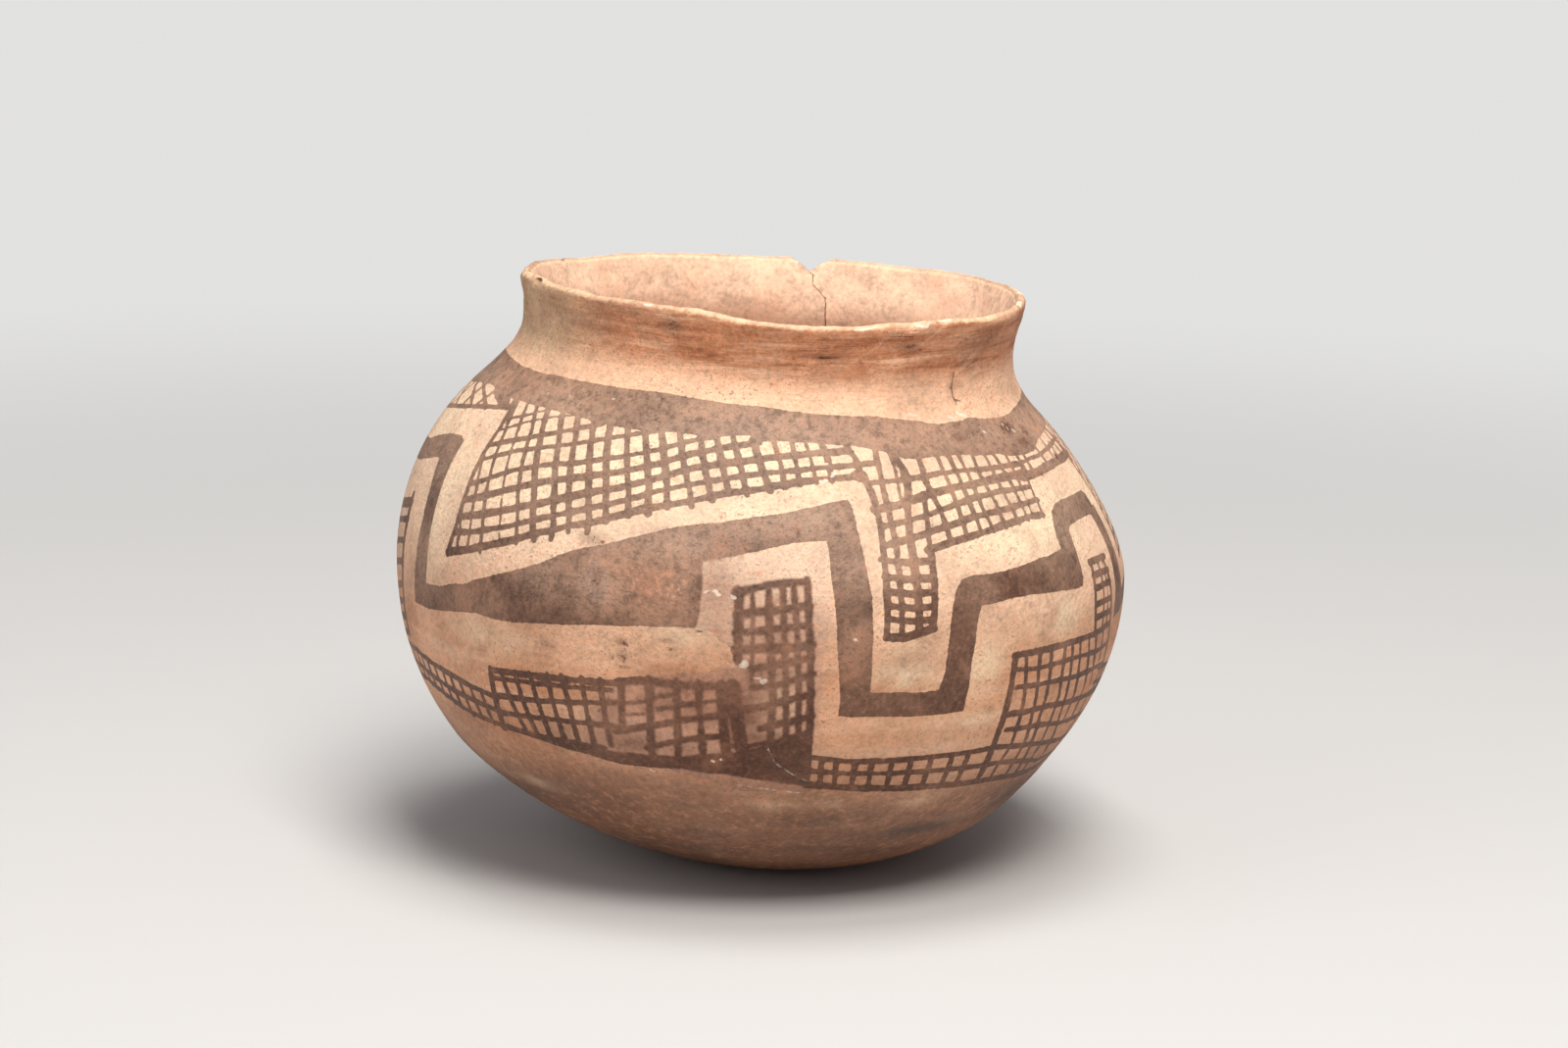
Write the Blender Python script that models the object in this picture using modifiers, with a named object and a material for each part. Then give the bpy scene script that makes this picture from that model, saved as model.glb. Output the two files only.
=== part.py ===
# A round-bottomed painted pottery jar with a short flared neck, mended from sherds.
#
# The jar is turned as one whole wall first: a profile with a Screw modifier, leant and settled
# the way the hand-built pot is.  Thin break cutters then part it along its mended breaks, and
# each sherd and each fill becomes an object of its own.  The thin gap stands for the glue line.
#
# Turn is an angle in degrees round the jar: 0 at the front (-Y), 90 at the right (+X).
# Level is a height read on the jar's own landmarks: 0 foot, 1 widest ring, 2 top of the
# shoulder, 3 waist of the neck, 4 rim.  Metres, +Z up, origin at the middle of the resting spot.

import math
import random

import bmesh
import bpy
from mathutils import Vector
from mathutils.bvhtree import BVHTree

# Outline of the turned form
BELLY_RADIUS = 0.0950
BELLY_HEIGHT = 0.0770
FOOT_RADIUS = 0.0240
NECK_RADIUS = 0.0635
LIP_RADIUS = 0.0655
# How far each stretch rises above the one below it, and how far the belly's dome would go on
# rising past the shoulder if the neck did not start there
SHOULDER_RISE = 0.0440
NECK_RISE = 0.0160
LIP_RISE = 0.0120
DOME_BEYOND = 0.0310
SHOULDER_HEIGHT = BELLY_HEIGHT + SHOULDER_RISE
SHOULDER_DOME = SHOULDER_RISE + DOME_BEYOND
NECK_HEIGHT = SHOULDER_HEIGHT + NECK_RISE
RIM_HEIGHT = NECK_HEIGHT + LIP_RISE
# How square the curves of the lower and upper belly are, and how late the lip flares
LOWER_FULLNESS = 2.08
UPPER_FULLNESS = 1.81
LIP_FLARE = 1.6

# Walls
WALL = 0.0050
BASE_WALL = 0.0068
LIP_WALL = 0.0042

# How the hand-built pot sags and leans: sideways shifts of its rings and the level where each
# is reached, the tilt of the rings in degrees and the level where it starts, the lift of the
# rim towards the front, and the dip in the front lip
BODY_SHIFT = -0.0060
BODY_SHIFT_LEVEL_RATIO = 0.45
SHOULDER_SHIFT = -0.0012
SHOULDER_SHIFT_LEVEL_RATIO = 1.75
NECK_SHIFT = 0.0034
SHOULDER_TILT = 3.0
SHOULDER_TILT_LEVEL_RATIO = 0.65
NECK_TILT = -0.9
RIM_LIFT = 0.0009
LIP_DIP = 0.0020
LIP_DIP_ANGLE = 6.0
LIP_DIP_ANGLE_SPREAD = 18.0

# Breaks and losses
GLUE_GAP = 0.0003
NOTCH_ANGLE = 171.4
NOTCH_WIDTH = 0.0112
NOTCH_DEPTH = 0.0042
PROUD_STEP = 0.0004
PROUD_LIFT = 0.0002

# How finely the form is divided
AROUND = 64
LOWER_RINGS = 12
UPPER_RINGS = 6
BLEND_RINGS = 4
FLARE_RINGS = 3
CREST_RINGS = 4
BREAK_STRIDE = 0.0060
BREAK_JAG = 0.0005
CUTTER_REACH = 0.0040
SAME_POINT = 0.00005
SHARP_ANGLE = 40.0
JAG_SEED = 7

LEVEL_HEIGHTS = (0.0, BELLY_HEIGHT, SHOULDER_HEIGHT, NECK_HEIGHT, RIM_HEIGHT)
PAST_RIM = 5.0

# Closed breaks: the outlines of the two fills, as (turn, level)
INFILL_OUTLINE = (
    (-9.0, 1.41),
    (0.5, 1.46),
    (10.5, 1.50),
    (11.0, 1.25),
    (9.6, 0.94),
    (9.8, 0.81),
    (8.6, 0.61),
    (8.8, 0.48),
    (-2.0, 0.46),
    (-14.0, 0.53),
    (-28.6, 0.60),
    (-26.1, 0.69),
    (-23.4, 0.75),
    (-21.4, 0.83),
    (-12.0, 0.87),
    (-3.4, 0.90),
    (-3.6, 0.963),
    (-5.6, 0.982),
    (-6.1, 1.02),
    (-9.0, 1.03),
)
PLUG_OUTLINE = (
    (-26.8, 1.32),
    (-24.4, 1.34),
    (-23.2, 1.29),
    (-22.9, 1.20),
    (-23.6, 1.12),
    (-25.4, 1.09),
    (-26.6, 1.20),
)

# Places where breaks meet, as (turn, level)
INFILL_TOP_LEFT = INFILL_OUTLINE[0]
INFILL_RIGHT_HIGH = INFILL_OUTLINE[3]
INFILL_RIGHT_LOW = INFILL_OUTLINE[4]
INFILL_BOTTOM_RIGHT = INFILL_OUTLINE[7]
INFILL_BOTTOM_LEFT = INFILL_OUTLINE[10]
RIGHT_MEETING = (99.0, 1.22)
BACK_MEETING = (163.0, 1.60)
LEFT_MEETING = (256.0, 1.42)

# Open breaks, each from one end to the other.  An end past the rim runs out over it.
BREAKS = {
    "neck_break": (
        (44.0, PAST_RIM),
        (45.5, 3.6),
        (47.2, 3.1),
        (46.9, 2.75),
        (48.0, 2.45),
        (45.5, 2.1),
        (38.0, 1.96),
        (29.0, 1.90),
        (25.5, 1.70),
        (27.5, 1.52),
        (20.0, 1.38),
        INFILL_RIGHT_HIGH,
    ),
    "right_belly_break": (
        INFILL_RIGHT_LOW,
        (17.1, 0.915),
        (30.5, 0.895),
        (47.0, 0.86),
        (64.0, 0.93),
        (84.0, 1.06),
        RIGHT_MEETING,
    ),
    "step_break": (
        (113.0, PAST_RIM),
        (112.0, 3.4),
        (108.0, 2.6),
        (110.0, 2.1),
        (104.0, 1.65),
        RIGHT_MEETING,
    ),
    "lower_right_break": (
        INFILL_BOTTOM_RIGHT,
        (26.0, 0.44),
        (49.0, 0.42),
        (72.0, 0.52),
        (90.0, 0.72),
        (97.0, 0.96),
        RIGHT_MEETING,
    ),
    "back_break": (
        RIGHT_MEETING,
        (118.0, 1.40),
        (141.0, 1.46),
        BACK_MEETING,
        (188.0, 1.52),
        (214.0, 1.38),
        (238.0, 1.50),
        LEFT_MEETING,
    ),
    "notch_break": (
        (NOTCH_ANGLE, PAST_RIM),
        (170.0, 3.4),
        (165.8, 3.14),
        (163.8, 2.66),
        (160.0, 2.0),
        BACK_MEETING,
    ),
    "left_rim_break": (
        (243.4, PAST_RIM),
        (244.5, 3.3),
        (250.0, 2.4),
        (252.5, 1.9),
        LEFT_MEETING,
    ),
    "shoulder_break": (
        LEFT_MEETING,
        (272.0, 1.56),
        (291.0, 1.47),
        (314.0, 1.55),
        (336.0, 1.43),
        (INFILL_TOP_LEFT[0] + 360.0, INFILL_TOP_LEFT[1]),
    ),
    "lower_left_break": (
        LEFT_MEETING,
        (262.0, 1.05),
        (275.0, 0.80),
        (292.0, 0.66),
        (313.0, 0.57),
        (INFILL_BOTTOM_LEFT[0] + 360.0, INFILL_BOTTOM_LEFT[1]),
    ),
}

# Each piece: a point on it, as (turn, level), that tells which piece is which, then its
# colour and roughness
CLAY = (0.50, 0.32, 0.20)
PALE_CLAY = (0.58, 0.40, 0.27)
PLASTER = (0.47, 0.31, 0.21)
GREY_FILL = (0.21, 0.18, 0.16)
PIECES = {
    "body_and_base": ((180.0, 0.80), CLAY, 0.75),
    "rim_sherd_back_left": ((208.0, 2.40), PALE_CLAY, 0.75),
    "rim_sherd_back_right": ((138.0, 2.40), PALE_CLAY, 0.75),
    "neck_sherd_right": ((75.0, 1.80), CLAY, 0.75),
    "shoulder_sherd_front": ((-20.0, 2.20), CLAY, 0.75),
    "belly_sherd_left": ((-60.0, 1.00), CLAY, 0.75),
    "belly_sherd_right": ((45.0, 0.62), CLAY, 0.75),
    "plaster_infill": ((0.0, 0.95), PLASTER, 0.85),
    "grey_plug_fill": ((-24.8, 1.22), GREY_FILL, 0.85),
}
PROUD_PIECE = "rim_sherd_back_left"


def eased(value, start, end):
    """0 before start, 1 after end, and a smooth rise between them."""
    share = min(max((value - start) / (end - start), 0.0), 1.0)
    return share * share * (3.0 - 2.0 * share)


def height_at(level):
    """The height of a level on the jar's landmarks; past the rim it lies clear above it."""
    if level > len(LEVEL_HEIGHTS) - 1:
        return RIM_HEIGHT + RIM_LIFT + CUTTER_REACH
    below = min(int(level), len(LEVEL_HEIGHTS) - 2)
    low, high = LEVEL_HEIGHTS[below], LEVEL_HEIGHTS[below + 1]
    return low + (high - low) * (level - below)


def round_bottom_depth():
    """How far the round bottom would reach below the worn spot that it rests on."""
    left = 1.0 - (FOOT_RADIUS / BELLY_RADIUS) ** LOWER_FULLNESS
    return BELLY_HEIGHT / left ** (1.0 / LOWER_FULLNESS) - BELLY_HEIGHT


def dome(height):
    """Radius and slope of the upper belly's rounded dome."""
    rise = (height - BELLY_HEIGHT) / SHOULDER_DOME
    left = 1.0 - rise**UPPER_FULLNESS
    radius = BELLY_RADIUS * left ** (1.0 / UPPER_FULLNESS)
    slope = -radius / left * rise ** (UPPER_FULLNESS - 1.0) / SHOULDER_DOME
    return radius, slope


def outer_radius(height):
    """Radius of the turned outside at a height."""
    if height <= BELLY_HEIGHT:
        drop = min((BELLY_HEIGHT - height) / (BELLY_HEIGHT + round_bottom_depth()), 1.0)
        return BELLY_RADIUS * (1.0 - drop**LOWER_FULLNESS) ** (1.0 / LOWER_FULLNESS)
    if height <= SHOULDER_HEIGHT:
        return dome(height)[0]
    if height <= NECK_HEIGHT:
        radius, slope = dome(SHOULDER_HEIGHT)
        span = NECK_HEIGHT - SHOULDER_HEIGHT
        share = (height - SHOULDER_HEIGHT) / span
        fall = 2.0 * share**3 - 3.0 * share**2 + 1.0
        bend = share**3 - 2.0 * share**2 + share
        return fall * radius + bend * span * slope + (1.0 - fall) * NECK_RADIUS
    share = min((height - NECK_HEIGHT) / (RIM_HEIGHT - NECK_HEIGHT), 1.0)
    return NECK_RADIUS + (LIP_RADIUS - NECK_RADIUS) * share**LIP_FLARE


def wall_at(height):
    """Wall thickness: heavier at the base, thinner at the lip."""
    heavier = (BASE_WALL - WALL) * (1.0 - eased(height, 0.0, BELLY_HEIGHT))
    thinner = (WALL - LIP_WALL) * eased(height, SHOULDER_HEIGHT, RIM_HEIGHT)
    return WALL + heavier - thinner


def outward(height):
    """Outward normal of the turned outside at a height, as (along the radius, up)."""
    step = SAME_POINT
    rise = outer_radius(height + step) - outer_radius(height - step)
    return Vector((2.0 * step, -rise)).normalized()


def outside_points():
    """The turned outside as (radius, height) points, from the bottom pole up to the lip."""
    depth = round_bottom_depth()
    points = [(0.0, -depth)]
    for step in range(1, LOWER_RINGS + 1):
        angle = 0.5 * math.pi * step / LOWER_RINGS
        power = 2.0 / LOWER_FULLNESS
        radius = BELLY_RADIUS * math.sin(angle) ** power
        drop = (BELLY_HEIGHT + depth) * max(math.cos(angle), 0.0) ** power
        points.append((radius, BELLY_HEIGHT - drop))
    stretches = (
        (BELLY_HEIGHT, SHOULDER_HEIGHT, UPPER_RINGS),
        (SHOULDER_HEIGHT, NECK_HEIGHT, BLEND_RINGS),
        (NECK_HEIGHT, RIM_HEIGHT - LIP_WALL / 2.0, FLARE_RINGS),
    )
    for start, end, rings in stretches:
        for step in range(1, rings + 1):
            height = start + (end - start) * step / rings
            points.append((outer_radius(height), height))
    return points


def wall_profile():
    """The closed wall's section: up the inside from the pole, over the lip, down the outside."""
    outside = outside_points()
    inside = []
    for radius, height in outside[1:]:
        normal = outward(height)
        reach = wall_at(height)
        inside.append((radius - normal.x * reach, height - normal.y * reach))
    pole = (0.0, outside[0][1] + BASE_WALL)
    inside = [pole] + [point for point in inside if point[0] > 0.0]
    lip_out = Vector(outside[-1])
    lip_in = Vector(inside[-1])
    middle = (lip_out + lip_in) / 2.0
    across = (lip_out - lip_in) / 2.0
    up = Vector((-across.y, across.x))
    crest = []
    for step in range(1, CREST_RINGS):
        angle = math.pi * step / CREST_RINGS
        crest.append(tuple(middle - across * math.cos(angle) + up * math.sin(angle)))
    return inside + crest + outside[::-1]


def turned_point(turn, radius, height):
    """A point of the turned form from its turn, radius and height."""
    angle = math.radians(turn)
    return Vector((radius * math.sin(angle), -radius * math.cos(angle), height))


def settled(point):
    """Where a point of the turned form lies on the leaning, hand-built pot."""
    height = point.z
    turn = math.degrees(math.atan2(point.x, -point.y))
    shift = BODY_SHIFT * eased(height, 0.0, height_at(BODY_SHIFT_LEVEL_RATIO))
    shift += SHOULDER_SHIFT * eased(height, BELLY_HEIGHT, height_at(SHOULDER_SHIFT_LEVEL_RATIO))
    shift += NECK_SHIFT * eased(height, SHOULDER_HEIGHT, RIM_HEIGHT)
    tilt = SHOULDER_TILT * eased(height, height_at(SHOULDER_TILT_LEVEL_RATIO), SHOULDER_HEIGHT)
    tilt += NECK_TILT * eased(height, SHOULDER_HEIGHT, RIM_HEIGHT)
    wave = RIM_LIFT * (1.0 + math.cos(math.radians(turn)))
    wave -= LIP_DIP * math.exp(-(((turn - LIP_DIP_ANGLE) / LIP_DIP_ANGLE_SPREAD) ** 2))
    wave *= eased(height, SHOULDER_HEIGHT, RIM_HEIGHT)
    sink = math.tan(math.radians(tilt)) * point.x
    return Vector((point.x + shift, point.y, height - sink + wave))


def in_triangles(mesh):
    """Splits a mesh's bent faces into flat triangles, all facing outward."""
    shape = bmesh.new()
    shape.from_mesh(mesh)
    bmesh.ops.triangulate(shape, faces=shape.faces)
    bmesh.ops.recalc_face_normals(shape, faces=shape.faces)
    shape.to_mesh(mesh)
    shape.free()
    return mesh


def mesh_of(name, points, faces, edges=()):
    """A mesh from points and faces."""
    mesh = bpy.data.meshes.new(name)
    mesh.from_pydata([tuple(point) for point in points], edges, faces)
    return in_triangles(mesh) if faces else mesh


def evaluated_mesh(item):
    """The mesh of an object with its modifiers applied."""
    bpy.context.view_layer.update()
    graph = bpy.context.evaluated_depsgraph_get()
    return bpy.data.meshes.new_from_object(item.evaluated_get(graph))


def add_object(name, mesh, home):
    """A new object for a mesh, linked to a collection."""
    item = bpy.data.objects.new(name, mesh)
    home.objects.link(item)
    return item


def hide_helper(item):
    """Keeps a cutter or a guide out of the model."""
    item.hide_render = True
    item.display_type = "WIRE"


def turned_wall(home):
    """The whole wall, turned from its section and settled into its leaning shape."""
    profile = [(radius, 0.0, height) for radius, height in wall_profile()]
    links = [(index, index + 1) for index in range(len(profile) - 1)]
    section = add_object("wall_section", mesh_of("wall_section", profile, [], links), home)
    screw = section.modifiers.new("turn", "SCREW")
    screw.steps = AROUND
    screw.render_steps = AROUND
    screw.use_merge_vertices = True
    screw.merge_threshold = SAME_POINT
    mesh = evaluated_mesh(section)
    mesh.name = "whole_jar"
    hide_helper(section)
    for vertex in mesh.vertices:
        vertex.co = settled(vertex.co)
    return add_object("whole_jar", in_triangles(mesh), home)


def cut(item, cutter, solver="EXACT"):
    """Cuts one shape out of another with a Boolean modifier."""
    boolean = item.modifiers.new(cutter.name, "BOOLEAN")
    boolean.operation = "DIFFERENCE"
    boolean.solver = solver
    boolean.object = cutter
    hide_helper(cutter)


def part_along(item, cutter):
    """Parts the wall along a break.  The exact solver loses the wall on blades this thin."""
    cut(item, cutter, "MANIFOLD")


def foot_cutter(home):
    """A slab under the pot that wears its round bottom flat where it rests."""
    depth = 4.0 * round_bottom_depth()
    reach = BELLY_RADIUS
    shape = bmesh.new()
    bmesh.ops.create_cube(shape, size=1.0)
    bmesh.ops.scale(shape, vec=(2.0 * reach, 2.0 * reach, depth), verts=shape.verts)
    bmesh.ops.translate(shape, vec=(0.0, 0.0, -depth / 2.0), verts=shape.verts)
    mesh = bpy.data.meshes.new("foot_cutter")
    shape.to_mesh(mesh)
    shape.free()
    return add_object("foot_cutter", mesh, home)


def through_wall(turn, height):
    """A point on the outside, the wall's outward normal there, and the wall's thickness."""
    point = turned_point(turn, outer_radius(height), height)
    section_normal = outward(height)
    normal = turned_point(turn, section_normal.x, section_normal.y)
    return point, normal, wall_at(height)


def notch_cutter(home):
    """A wedge that knocks the V-shaped chip out of the back of the rim."""
    above = RIM_LIFT + CUTTER_REACH
    half_width = NOTCH_WIDTH / 2.0 * (NOTCH_DEPTH + above) / NOTCH_DEPTH
    half_turn = math.degrees(half_width / LIP_RADIUS)
    corners = (
        (NOTCH_ANGLE, RIM_HEIGHT - NOTCH_DEPTH),
        (NOTCH_ANGLE + half_turn, RIM_HEIGHT + above),
        (NOTCH_ANGLE - half_turn, RIM_HEIGHT + above),
    )
    points = []
    for side in (1.0, -1.0):
        for turn, height in corners:
            point, normal, wall = through_wall(turn, height)
            reach = CUTTER_REACH if side > 0.0 else wall + CUTTER_REACH
            points.append(settled(point + normal * side * reach))
    faces = [(0, 1, 2), (3, 5, 4), (0, 3, 4, 1), (1, 4, 5, 2), (2, 5, 3, 0)]
    return add_object("notch_cutter", mesh_of("notch_cutter", points, faces), home)


def break_path(corners, closed, seed):
    """The (turn, height) points of a break: its corners, with a ragged line between them."""
    ragged = random.Random(seed)
    path = []
    stops = list(corners) + ([corners[0]] if closed else [])
    for (turn, level), (next_turn, next_level) in zip(stops, stops[1:]):
        height, next_height = height_at(level), height_at(next_level)
        radius = outer_radius((height + next_height) / 2.0)
        length = math.hypot(math.radians(next_turn - turn) * radius, next_height - height)
        pieces = max(round(length / BREAK_STRIDE), 1)
        path.append((turn, height))
        for step in range(1, pieces):
            share = step / pieces
            off_turn = math.degrees(ragged.uniform(-BREAK_JAG, BREAK_JAG) / radius)
            off_height = ragged.uniform(-BREAK_JAG, BREAK_JAG)
            path.append(
                (
                    turn + (next_turn - turn) * share + off_turn,
                    height + (next_height - height) * share + off_height,
                )
            )
    if not closed:
        turn, level = corners[-1]
        path.append((turn, height_at(level)))
    return path


def break_cutter(name, corners, closed, seed, home):
    """A thin ragged blade through the wall, along one break."""
    path = break_path(corners, closed, seed)
    count = len(path)
    stations = [through_wall(turn, height) for turn, height in path]
    points = []
    for index, (point, normal, wall) in enumerate(stations):
        before = stations[index - 1][0] if closed or index else point
        after = stations[(index + 1) % count][0] if closed or index < count - 1 else point
        side = normal.cross(after - before).normalized() * GLUE_GAP / 2.0
        if before is not point and after is not point:
            bend = (point - before).normalized().dot((after - point).normalized())
            side /= max(math.sqrt((1.0 + bend) / 2.0), 0.5)
        outer = point + normal * CUTTER_REACH
        inner = point - normal * (wall + CUTTER_REACH)
        points += [outer + side, outer - side, inner - side, inner + side]
    faces = []
    for index in range(count if closed else count - 1):
        here, there = 4 * index, 4 * ((index + 1) % count)
        for edge in range(4):
            turned = (edge + 1) % 4
            faces.append((here + edge, here + turned, there + turned, there + edge))
    if not closed:
        last = 4 * (count - 1)
        faces += [(3, 2, 1, 0), (last, last + 1, last + 2, last + 3)]
    return add_object(name, mesh_of(name, [settled(point) for point in points], faces), home)


def loose_meshes(mesh):
    """The separate closed bodies of a mesh, each as a mesh of its own."""
    whole = bmesh.new()
    whole.from_mesh(mesh)
    unseen = set(whole.faces)
    bodies = []
    while unseen:
        body = [unseen.pop()]
        for face in body:
            for edge in face.edges:
                fresh = [other for other in edge.link_faces if other in unseen]
                unseen.difference_update(fresh)
                body += fresh
        bodies.append({face.index for face in body})
    whole.free()
    meshes = []
    for body in bodies:
        part = bmesh.new()
        part.from_mesh(mesh)
        part.faces.ensure_lookup_table()
        others = [face for face in part.faces if face.index not in body]
        bmesh.ops.delete(part, geom=others, context="FACES")
        own = bpy.data.meshes.new("sherd")
        part.to_mesh(own)
        part.free()
        meshes.append(own)
    return meshes


def nearest_mesh(meshes, place):
    """The mesh whose surface comes nearest to a point."""
    def distance(mesh):
        tree = BVHTree.FromPolygons(
            [vertex.co for vertex in mesh.vertices],
            [tuple(face.vertices) for face in mesh.polygons],
        )
        return tree.find_nearest(place)[3]

    return min(meshes, key=distance)


def finish_of(name, colour, roughness):
    """A plain matt clay or filler finish."""
    finish = bpy.data.materials.new(name)
    finish.use_nodes = True
    shader = finish.node_tree.nodes["Principled BSDF"]
    shader.inputs["Base Color"].default_value = (*colour, 1.0)
    shader.inputs["Roughness"].default_value = roughness
    shader.inputs["Metallic"].default_value = 0.0
    return finish


def main():
    for item in list(bpy.data.objects):
        bpy.data.objects.remove(item)
    scene = bpy.context.scene
    scene.unit_settings.system = "METRIC"
    jar = bpy.data.collections.new("painted_jar")
    helpers = bpy.data.collections.new("cutters")
    scene.collection.children.link(jar)
    scene.collection.children.link(helpers)

    whole = turned_wall(helpers)
    cut(whole, foot_cutter(helpers))
    cut(whole, notch_cutter(helpers))
    part_along(whole, break_cutter("infill_outline", INFILL_OUTLINE, True, JAG_SEED, helpers))
    part_along(whole, break_cutter("plug_outline", PLUG_OUTLINE, True, JAG_SEED, helpers))
    for seed, (name, corners) in enumerate(BREAKS.items(), start=JAG_SEED + 1):
        part_along(whole, break_cutter(name, corners, False, seed, helpers))
    # What no piece claims below is a crumb between the blades where breaks meet, and is left out
    bodies = loose_meshes(evaluated_mesh(whole))
    hide_helper(whole)

    for name, ((turn, level), colour, roughness) in PIECES.items():
        height = height_at(level)
        place = settled(turned_point(turn, outer_radius(height), height))
        mesh = nearest_mesh(bodies, place)
        bodies.remove(mesh)
        mesh.name = name
        mesh.materials.clear()
        mesh.materials.append(finish_of(name, colour, roughness))
        mesh.shade_smooth()
        mesh.set_sharp_from_angle(angle=math.radians(SHARP_ANGLE))
        piece = add_object(name, mesh, jar)
        if name == PROUD_PIECE:
            away = turned_point(turn, PROUD_STEP, PROUD_LIFT)
            for vertex in piece.data.vertices:
                vertex.co += away
    print("pieces:", len(jar.objects), "left over:", len(bodies))


main()
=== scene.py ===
# A round-bottomed painted jar with a short flared neck, mended from sherds.
# Turn is in degrees round the jar: 0 at the front, 90 at the right.  Level reads the jar's own
# landmarks: 0 foot, 1 widest ring, 2 top of the shoulder, 3 waist of the neck, 4 rim, 5 past it.
# Brushwork is placed by turn and by height in millimetres on the form before it settles.
import math
import random
import bpy
import numpy as np
from mathutils import Matrix, Vector, geometry, kdtree


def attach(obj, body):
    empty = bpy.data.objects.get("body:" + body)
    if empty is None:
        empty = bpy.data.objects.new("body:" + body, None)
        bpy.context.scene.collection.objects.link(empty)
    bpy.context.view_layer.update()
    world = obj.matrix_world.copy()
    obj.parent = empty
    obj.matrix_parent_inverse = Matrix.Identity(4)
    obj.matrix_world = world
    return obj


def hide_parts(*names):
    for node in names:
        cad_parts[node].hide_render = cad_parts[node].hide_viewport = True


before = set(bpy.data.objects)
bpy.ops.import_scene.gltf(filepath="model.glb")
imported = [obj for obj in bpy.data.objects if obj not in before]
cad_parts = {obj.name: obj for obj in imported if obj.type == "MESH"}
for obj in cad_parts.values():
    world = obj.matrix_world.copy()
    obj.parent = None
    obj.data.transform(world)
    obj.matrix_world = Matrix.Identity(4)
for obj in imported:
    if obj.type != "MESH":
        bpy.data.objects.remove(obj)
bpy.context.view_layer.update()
mm = 0.001
together = 1e-7  # metres; points nearer than this count as one
tiny = 1e-9  # keeps a division away from nothing
even = (1.0, 1.0, 1.0)  # a noise that isn't drawn out in any direction


# Node trees: a wire is one socket, and an expression on wires adds its Math nodes
class Wire:
    def __init__(self, graph, socket):
        self.graph, self.socket = graph, socket

    def maths(self, operation, *values):
        return self.graph.add("ShaderNodeMath", {"operation": operation}, *values)

    def __add__(self, other):
        return self.maths("ADD", self, other)

    def __radd__(self, other):
        return self.maths("ADD", other, self)

    def __sub__(self, other):
        return self.maths("SUBTRACT", self, other)

    def __rsub__(self, other):
        return self.maths("SUBTRACT", other, self)

    def __mul__(self, other):
        return self.maths("MULTIPLY", self, other)

    def most(self, other):
        return self.maths("MAXIMUM", self, other)

    def least(self, other):
        return self.maths("MINIMUM", self, other)

    def rise(self, start, end, low=0.0, high=1.0):  # a smooth step from low to high
        return self.graph.add(
            "ShaderNodeMapRange", {"interpolation_type": "SMOOTHSTEP"}, self, start, end, low, high
        )

    def out(self, name):
        return Wire(self.graph, self.socket.node.outputs[name])


class Graph:
    def __init__(self, tree):
        self.tree = tree
        tree.nodes.clear()

    def add(self, kind, settings=None, *values, **named):
        node = self.tree.nodes.new(kind)
        for key, value in (settings or {}).items():
            setattr(node, key, value)
        wanted = [(node.inputs[index], value) for index, value in enumerate(values)]
        wanted += [(node.inputs[key.replace("_", " ")], value) for key, value in named.items()]
        for socket, value in wanted:
            if isinstance(value, Wire):
                self.tree.links.new(value.socket, socket)
            elif value is not None:
                socket.default_value = value
        return Wire(self, node.outputs[0]) if node.outputs else node

    def vector(self, operation, *values):
        return self.add("ShaderNodeVectorMath", {"operation": operation}, *values)

    def noise(self, place, scale, detail, roughness, drawnOut, seed):
        place = self.vector("MULTIPLY", place, tuple(scale * part for part in drawnOut))
        return self.add(
            "ShaderNodeTexNoise", {"noise_dimensions": "4D"},
            Vector=place, W=seed, Scale=1.0, Detail=detail, Roughness=roughness,
        )

    def tint(self, share, first, second, blend="MIX"):
        mixed = self.add("ShaderNodeMix", {"data_type": "RGBA", "blend_type": blend}, share)
        for socket, colour in zip((6, 7), (first, second)):
            if isinstance(colour, Wire):
                self.tree.links.new(colour.socket, mixed.socket.node.inputs[socket])
            else:
                mixed.socket.node.inputs[socket].default_value = (*colour, 1.0)
        return Wire(self, mixed.socket.node.outputs[2])

    def coated(self, colour, *coats):  # coats as (share, colour), one over the other
        for share, tone in coats:
            colour = self.tint(share, colour, tone)
        return colour


# The turned form
jarForm = {
    "bellyRadius": 0.0950, "bellyHeight": 0.0770, "footRadius": 0.0240,
    "shoulderRise": 0.0440, "neckRise": 0.0160, "lipRise": 0.0120, "domeBeyond": 0.0310,
    "neckRadius": 0.0635, "lipRadius": 0.0655, "lowerFullness": 2.08, "upperFullness": 1.81,
    "lipFlare": 1.6, "wall": 0.0050, "baseWall": 0.0068, "lipWall": 0.0042, "pastLip": 0.0049,
}
belly = jarForm["bellyHeight"]
shoulder = belly + jarForm["shoulderRise"]
neck = shoulder + jarForm["neckRise"]
rim = neck + jarForm["lipRise"]
rimEdge = rim - jarForm["lipWall"] / 2.0  # where the rounded lip starts
dome = jarForm["shoulderRise"] + jarForm["domeBeyond"]
footShare = 1.0 - (jarForm["footRadius"] / jarForm["bellyRadius"]) ** jarForm["lowerFullness"]
wornDepth = belly / footShare ** (1.0 / jarForm["lowerFullness"]) - belly


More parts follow.
